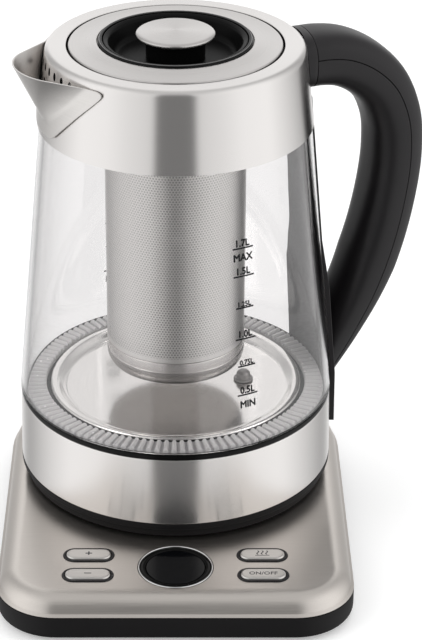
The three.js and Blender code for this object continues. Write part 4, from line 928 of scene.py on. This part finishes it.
lidTop = 232.7
lidPieces = {
    "lid_ring": ("lid_plate", "lid", "lidSteel", [
        (37.2, lidTop - 1), (51.16, lidTop - 1), (51.16, lidTop - 4.4), (52.16, lidTop - 4.4), (52.16, lidTop, 0.9),
        (46.0, lidTop, 3.0), (39.3, lidTop + 1.5, 1.0), (38.3, lidTop + 1.5, 0.2), (38.3, lidTop, 0.1),
        (37.2, lidTop, 0.3)]),
    "lid_body": ("lid_carrier", "lid", "blackPlastic", [
        (36.6, 212.4), (38.8, 212.4), (38.8, 222.9), (47.26, 222.9), (47.26, 217.9), (49.46, 217.9),
        (49.46, 225.1), (50.86, 225.1), (50.86, 231.4), (36.6, 231.4)]),
    "lid_lip_seal": ("lid_gasket", "lid", "silicone", [
        (49.76, 220.2), (51.21, 220.2), (52.66, 221.35), (51.21, 222.5), (52.66, 223.65), (51.21, 224.8),
        (49.76, 224.8)]),
}
turnedPieces(lidPieces)

infuserPieces = {
    "infuser_ring": ("infuser_rim", "infuser", "glossPlastic", [
        (34.6, 222.7), (36.2, 222.7), (36.2, 233.0), (37.9, 233.0), (37.9, 234.1, 0.8), (37.17, 235.2, 0.6),
        (35.7, 235.2, 0.4), (35.7, 232.5), (34.6, 232.5)]),
    # a thin grey bead on the rim's top: a painted highlight
    "rim_glint": (None, "infuser", "rimGlint", [
        (36.75, 235.1), (37.2, 235.1), (37.05, 235.35), (36.85, 235.35)], 0.08),
    "mesh_tube": ("infuser_basket", "infuser", "basketSteel", [
        (34.6, 74.8), (35.2, 74.8), (35.2, 222.4), (34.6, 222.4)], 0.15),
    "mesh_cup": ("infuser_base", "infuser", "cupSteel", [
        (0, 62.3), (31.0, 61.5, 1.5), (33.6, 62.3, 1.3), (35.2, 65.6, 1.3), (35.2, 68.9, 0.15),
        (34.85, 69.1, 0.1), (34.85, 69.6, 0.1), (35.2, 69.8, 0.15), (35.2, 74.5, 0.4), (34.3, 74.5),
        (34.3, 65.8, 1.0), (32.9, 63.1, 1.0), (0, 63.1)], 0.25),
}
# the cup's foot, below its groove, lies in its own shade
refinish(turnedPieces(infuserPieces)["mesh_cup"], "cupShade", lambda r, z, angle: z < 69.0)

# the knob's top is a low dome: height = 238.6 + 0.8 (1 - (radius / 18)^2)
knobDome = [(radius, 238.6 + 0.8 * (1 - (radius / 18.0) ** 2)) for radius in (15.5, 12.0, 8.0, 4.0)]
capPieces = {
    "cap_bowl": ("cap_well", "cap", "wellPlastic", [
        (1.7, 224.3), (33.2, 224.3), (33.2, 227.9), (34.3, 227.9), (34.3, 232.8), (35.4, 232.8),
        (35.4, 234.4, 0.5), (34.9, 234.9, 0.4), (32.7, 233.9, 0.8), (29.9, 225.9, 2.2), (1.7, 225.9)]),
    "cap_bowl_seal": ("cap_seal", "cap", "silicone", [
        (33.5, 224.6), (34.3, 224.6), (34.3, 227.6), (33.5, 227.6)], 0.2),
    "knob_post": ("knob_stem", "cap", "wellPlastic", [
        (0, 226.2), (14.5, 226.2, 0.8), (14.5, 235.7), (0, 235.7)], 0.4, midSides),
    "knob_top": ("knob_disc", "cap", "lidSteel", [
        (0, 236.0), (18.2, 236.0, 0.8), (19.3, 236.9, 0.7), (19.2, 237.8, 0.7), (17.8, 238.6, 1.0), *knobDome,
        (0, 239.4)], 0.4, midSides),
}
turnedPieces(capPieces)
print("collar and lid made")

handleShape = {
    "halfWidth": 17.2, "halfDepth": 14.0, "tipDepth": 9.0, "tipShare": 0.3, "seam": 3.2, "power": 0.78,
    "standOut": 43.4, "bracket": 74.56, "seamAt": 68.2, "top": 216.7, "low": 45.0, "steps": 90, "sectionSteps": 36,
    # grip's centre line: shares of its stand-out from the bracket and of its height above the band
    "line": [(-0.142, 1), (0.0046, 1), (0.2535, 0.9889), (0.5484, 0.9499), (0.8018, 0.8847), (0.9631, 0.7863),
             (1, 0.6814), (0.9631, 0.5649), (0.8295, 0.4013), (0.6175, 0.2487), (0.3387, 0.1136), (0.0553, 0)],
    "spanSteps": 60,
    "bracketLow": 198, "bracketStand": 0.6, "seamGap": 0.15,
}
beyond = 20  # how far the faces of strip and bracket are drawn on past band and collar
stripShape = {
    "thickness": 2.6, "low": 20.0, "high": 200.0,
    "radii": (81.1, 80.6, 68.36),  # of its inner face below the band, at the glass's foot and at the collar's foot
    "levels": [(20, 2.6, 18.5), (97, 2.6, 17.0), (122, 0.9, 13.5), (200, 0.8, 11.0)],  # height, thickness, half angle
}


def gripLine(count):
    # Centripetal Catmull-Rom curve: each span is a cubic between two points, and its end slopes weigh the
    # neighbours by the square root of their distance. Resampled at even lengths, with unit tangents.
    shape = handleShape
    shares = np.array(shape["line"])
    p = np.stack([shape["bracket"] + shares[:, 0] * shape["standOut"],
                  shape["low"] + shares[:, 1] * (shape["top"] - shape["low"])], -1)
    p = np.concatenate([[2 * p[0] - p[1]], p, [2 * p[-1] - p[-2]]])
    d = (np.linalg.norm(np.diff(p, axis=0), axis=1) ** 0.5)[:, None]
    p0, p1, p2, p3, d0, d1, d2 = p[:-3], p[1:-2], p[2:-1], p[3:], d[:-2], d[1:-1], d[2:]
    slope1 = ((p1 - p0) / d0 - (p2 - p0) / (d0 + d1) + (p2 - p1) / d1) * d1
    slope2 = ((p2 - p1) / d1 - (p3 - p1) / (d1 + d2) + (p3 - p2) / d2) * d1
    t = np.linspace(0, 1, shape["spanSteps"], endpoint=False)[None, :, None]
    curve = ((2 * t ** 3 - 3 * t ** 2 + 1) * p1[:, None] + (t ** 3 - 2 * t ** 2 + t) * slope1[:, None]
             + (3 * t ** 2 - 2 * t ** 3) * p2[:, None] + (t ** 3 - t ** 2) * slope2[:, None])
    curve = np.concatenate([curve.reshape(-1, 2), p[-2:-1]])
    length = np.concatenate([[0], np.cumsum(np.linalg.norm(np.diff(curve, axis=0), axis=1))])
    even = np.linspace(0, length[-1], count)
    line = np.stack([np.interp(even, length, curve[:, axis]) for axis in (0, 1)], -1)
    tangent = np.gradient(line, axis=0)
    return line, tangent / np.linalg.norm(tangent, axis=1)[:, None]


def gripRings(outerHalf, count):
    # Half of a rounded section: across = width * sign(cos) |cos|^p, out = depth * sign(sin) |sin|^p, from seam to
    # seam, set square to the centre line, with the depth falling towards the tip
    shape = handleShape
    line, tangent = gripLine(count)
    share = np.linspace(0, 1, count)
    taper = np.clip((share - (1 - shape["tipShare"])) / shape["tipShare"], 0, None)
    depth = (shape["halfDepth"] + (shape["tipDepth"] - shape["halfDepth"]) * taper)[:, None]
    seam = np.arcsin(np.minimum(1, (shape["seam"] / depth) ** (1 / shape["power"])))
    start = seam if outerHalf else -np.pi - seam
    end = np.pi - seam if outerHalf else seam
    angle = start + (end - start) * np.linspace(0, 1, shape["sectionSteps"] + 1)[None]
    across = shape["halfWidth"] * np.sign(np.cos(angle)) * np.abs(np.cos(angle)) ** shape["power"]
    out = depth * np.sign(np.sin(angle)) * np.abs(np.sin(angle)) ** shape["power"] - (0 if outerHalf else gap)
    return np.stack([line[:, :1] - tangent[:, 1:] * out, across, line[:, 1:] + tangent[:, :1] * out], -1)


def stripRadius(z, offset):
    # the strip's inner face: straight lines between the band, the glass's foot, the collar's foot and its top
    heights = [-beyond, glassShape["low"], collarShape["low"], collarShape["top"] + beyond]
    radii = [*stripShape["radii"], float(collarRadius(collarShape["top"])) + gap]
    return np.interp(z, heights, radii) + offset


def makeHandle():
    shape = handleShape
    for name, node, outerHalf in (("handle_back_shell", "handle_outer", True),
                                  ("handle_palm_shell", "handle_inner", False)):
        rings = gripRings(outerHalf, shape["steps"] + 1)
        # what stands inside the strip's face, or over the bracket, is pushed out to it
        face = stripRadius(rings[..., 2], stripShape["thickness"] + gap)
        nearest = np.sqrt(np.maximum(face ** 2 - rings[..., 1] ** 2, 0))
        nearest = np.where(rings[..., 2] > stripShape["high"], shape["seamAt"] + shape["seamGap"], nearest)
        rings[..., 0] = np.maximum(rings[..., 0], nearest)
        piece = addPiece(name, loftedRings(rings), "kettle", "blackPlastic", node, 50)
        softenEdges(piece)


makeHandle()


def makeBracket():
    # a short block between collar and grip, of the grip's own section, hollowed to the collar's cone
    shape = handleShape
    section = np.concatenate([gripRings(True, 40)[0], gripRings(False, 40)[0][1:-1]])
    centreZ = shape["top"]
    y, z = section[:, 1], section[:, 2]
    heights = [shape["bracketLow"], collarShape["top"] - collarShape["fillet"], collarShape["top"] + beyond]
    radii = [*collarRadius(heights[:2]), collarShape["topRadius"]]
    face = np.interp(z, heights, np.array(radii) + shape["bracketStand"])
    start = np.sqrt(np.maximum(face ** 2 - y ** 2, 0))
    rings = []
    for share, drawn in ((0, 0.0), (0.1, 0.0), (0.5, 0.0), (0.94, 0.0), (0.98, 0.04), (1.0, 0.15)):
        scale = 1 - drawn / shape["halfDepth"]
        x = start + (shape["seamAt"] - start) * share
        rings.append(np.stack([x, y * scale, centreZ + (z - centreZ) * scale], -1))
    addPiece("grip_bracket", loftedRings(rings), "kettle", "blackPlastic", "handle_bracket", 50)


makeBracket()


def makeStrip():
    # a curved slat that follows band, glass and collar: inner radius + thickness, over its angle and height, both of
    # which its levels give, with straight lines between them
    shape = stripShape
    levels, thick, half = np.array(shape["levels"]).T
    z = np.unique(np.concatenate([np.linspace(shape["low"], shape["high"], 60), levels,
                                  [glassShape["low"], collarShape["low"]]]))[:, None]
    thickness = np.interp(z, levels, thick)
    angle = np.radians(np.interp(z, levels, half)) * np.linspace(-1, 1, 25)[None]
    faces = [polar(stripRadius(z, offset), angle, z) for offset in (thickness, 0.0)]
    strip = addPiece("handle_slat", sheetShell(*faces), "kettle", "blackPlastic", "handle_strip", 50)
    softenEdges(strip)


makeStrip()
print("handle made")


signShape = {
    "words": {"plus": ("+", 6.0), "minus": ("–", 6.0), "power": ("ON/OFF", 3.5)},
    "stretch": 1.1, "bold": 0.015, "lift": 0.05, "sunk": 0.01,
    "waves": (-2.2, 0.0, 2.2), "sway": 0.45, "halfHeight": 1.7, "middle": 0.5, "halfLine": 0.3,
    "line": (7.0, 0.45, -1.9),  # length, height and centre of the line under the waves
}


def addSign(key, shells):
    points, faces = joined(*[thickened(some, list(cells), signShape["lift"]) for some, cells in shells])
    points += np.array([*keyPlaces[key], keyShape["top"] - signShape["sunk"]])
    addPiece("sign_" + key, (points, faces), key + "_button", "keyPrint")


def makeSigns():
    shape = signShape
    for key, (words, size) in shape["words"].items():
        addSign(key, [textShell(words, size, shape["stretch"], shape["bold"])])
    # three rising waves over a line: the usual sign for warmth
    t = np.linspace(-1, 1, 17)
    shells = []
    for middle in shape["waves"]:
        x = middle + shape["sway"] * np.sin(np.pi * t)
        centre = np.stack([x, shape["halfHeight"] * t + shape["middle"]], -1)
        wave = np.concatenate([centre + (shape["halfLine"], 0), centre - (shape["halfLine"], 0)])
        shells.append((np.column_stack([wave, 0 * wave[:, 0]]), gridFaces(2, 17).tolist()))
    addSign("warm", [*shells, bar(*shape["line"])])


makeSigns()

# inner pieces that stay as the frame has them, with their own finish
kept = {
    "aluminium": ["heating_element", "heat_spreader"],
    "board": ["control_board"],
    "wellPlastic": ["display_module", "switch_plus", "switch_minus", "switch_warm", "switch_power"],
    "screwSteel": ["base_screw_1", "base_screw_2", "base_screw_3", "base_screw_4", "handle_screw_top",
                   "handle_screw_low", "cap_screw"],
}
for finish, names in kept.items():
    for name in names:
        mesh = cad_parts[name].data
        mesh.materials.clear()
        mesh.materials.append(finishes[finish])
print("signs and kept pieces finished")

floorShape = {"reach": 6, "height": -0.0016, "tone": 0.82, "glow": 0.32}


def makeStage():
    reach, height, tone = (floorShape[name] for name in ("reach", "height", "tone"))
    mesh = bpy.data.meshes.new("floor")
    mesh.from_pydata([(x * reach, y * reach, height) for x, y in ((-1, -1), (1, -1), (1, 1), (-1, 1))], [],
                     [(0, 1, 2, 3)])
    floor = linked("floor", mesh)
    material, tree = newMaterial("white paper sweep")
    matt = addNode(tree, "BsdfDiffuse", {"Color": (tone, tone, tone, 1)}).outputs[0]
    glow = addNode(tree, "Emission", {"Strength": floorShape["glow"]}).outputs[0]
    both = addNode(tree, "AddShader", {0: matt, 1: glow}).outputs[0]
    path = addNode(tree, "LightPath").outputs
    seen = maths(tree, "MAXIMUM", maths(tree, "MAXIMUM", path["Is Camera Ray"], path["Is Glossy Ray"]),
                 path["Is Transmission Ray"])
    mesh.materials.append(finished(material, mixed(tree, seen, matt, both)))

    # metal and glass see the studio all round instead, which continues below the horizon
    floor.visible_glossy = False
    floor.visible_transmission = False


# how light the studio's walls are, by their angle from the front: a black card stands before the kettle, and two
# dimmer corners behind its sides
studioShape = {
    "walls": [(0, 0.205), (14.5, 0.205), (19.5, 0.8), (40, 0.92), (58, 1.06), (84, 1.1), (100, 0.92), (114, 0.74),
              (126, 0.58), (138, 0.44), (150, 0.56), (160, 1.0), (180, 1.0)],
    "wallTop": 42,  # degrees above the horizon at which the walls begin to fade into the ceiling
    "ceilingFrom": 84,
    "ceiling": 0.62,
    "pit": 0.2,  # tone straight down, below the floor's edge
    "pitFrom": -38,
    "pitTo": -60,
    "softLight": 0.75,  # strength of the plain light on all that isn't metal or glass
}


def makeWorld():
    # seen by the camera the studio is white; in metal and glass its tone is walls(angle), which fades into the
    # ceiling's tone above and into a dark pit below; on all else it gives plain soft light
    shape = studioShape
    world = bpy.data.worlds.new("studio")
    bpy.context.scene.world = world
    world.use_nodes = True
    tree = world.node_tree
    tree.nodes.clear()
    x, y, z = addNode(tree, "SeparateXYZ", {0: addNode(tree, "TexCoord").outputs["Generated"]}).outputs
    turn = maths(tree, "ABSOLUTE", maths(tree, "ARCTAN2", x, maths(tree, "MULTIPLY", y, -1.0)))
    walls = addNode(tree, "ValToRGB", {0: maths(tree, "MULTIPLY", turn, 1 / math.pi)})
    ramp = walls.color_ramp
    for degrees, tone in shape["walls"]:
        stop = ramp.elements[0] if degrees == 0 else ramp.elements.new(degrees / 180)
        stop.position, stop.color = degrees / 180, (tone, tone, tone, 1)
    ramp.elements.remove(ramp.elements[-1])
    studio = walls.outputs[0]
    for tone, *limits in (("ceiling", "wallTop", "ceilingFrom"), ("pit", "pitFrom", "pitTo")):
        share = spread(tree, z, 0.0, 1.0, *(math.sin(math.radians(shape[name])) for name in limits))
        studio = blend(tree, share, studio, (shape[tone],) * 3 + (1,))
    white, soft, wide = [addNode(tree, "Background", {"Color": colour, "Strength": strength}).outputs[0]
                         for colour, strength in (((1, 1, 1, 1), 1.0), ((1, 1, 1, 1), shape["softLight"]),
                                                  (studio, 1.0))]
    path = addNode(tree, "LightPath").outputs
    seen = maths(tree, "MAXIMUM", path["Is Glossy Ray"], path["Is Transmission Ray"])
    plain = mixed(tree, path["Is Camera Ray"], soft, white)
    addNode(tree, "OutputWorld", {0: mixed(tree, seen, plain, wide)})


def makeLamp(name, place, size, power):
    lamp = bpy.data.lights.new(name, "AREA")
    lamp.shape, lamp.size, lamp.size_y, lamp.energy = "RECTANGLE", *size, power
    holder = linked(name, lamp)
    away = np.array(place) - np.array((0, 0, 0.1))  # every lamp aims at the jug's lower half
    away = away / np.linalg.norm(away)
    holder.location = place
    holder.rotation_euler = (math.acos(away[2]), 0, math.atan2(away[0], -away[1]))
    holder.visible_glossy = False  # the studio's walls are what metal and gloss show


# fitted to the photograph: the axis looks 27.8 degrees down
cameraShape = {"lens": 132.95, "sensor": 36, "shift": 0.0554, "place": (0, -1.07438, 0.6721), "tilt": 62.17}


def makeCamera():
    shape = cameraShape
    camera = bpy.data.cameras.new("camera")
    camera.lens, camera.sensor_width, camera.shift_x = shape["lens"], shape["sensor"], shape["shift"]
    holder = linked("camera", camera)
    holder.location = shape["place"]
    holder.rotation_euler = (math.radians(shape["tilt"]), 0, 0)
    bpy.context.scene.camera = holder


makeStage()
makeWorld()
makeLamp("left softbox", (-1.6, -0.9, 1.5), (1.0, 1.4), 9)
makeLamp("right softbox", (1.7, -0.5, 1.3), (0.9, 1.4), 6)
makeLamp("top softbox", (0.1, 0.5, 1.9), (1.4, 1.0), 8)
makeCamera()
bpy.context.scene.view_settings.view_transform = "Standard"
print("stage, light and camera set")
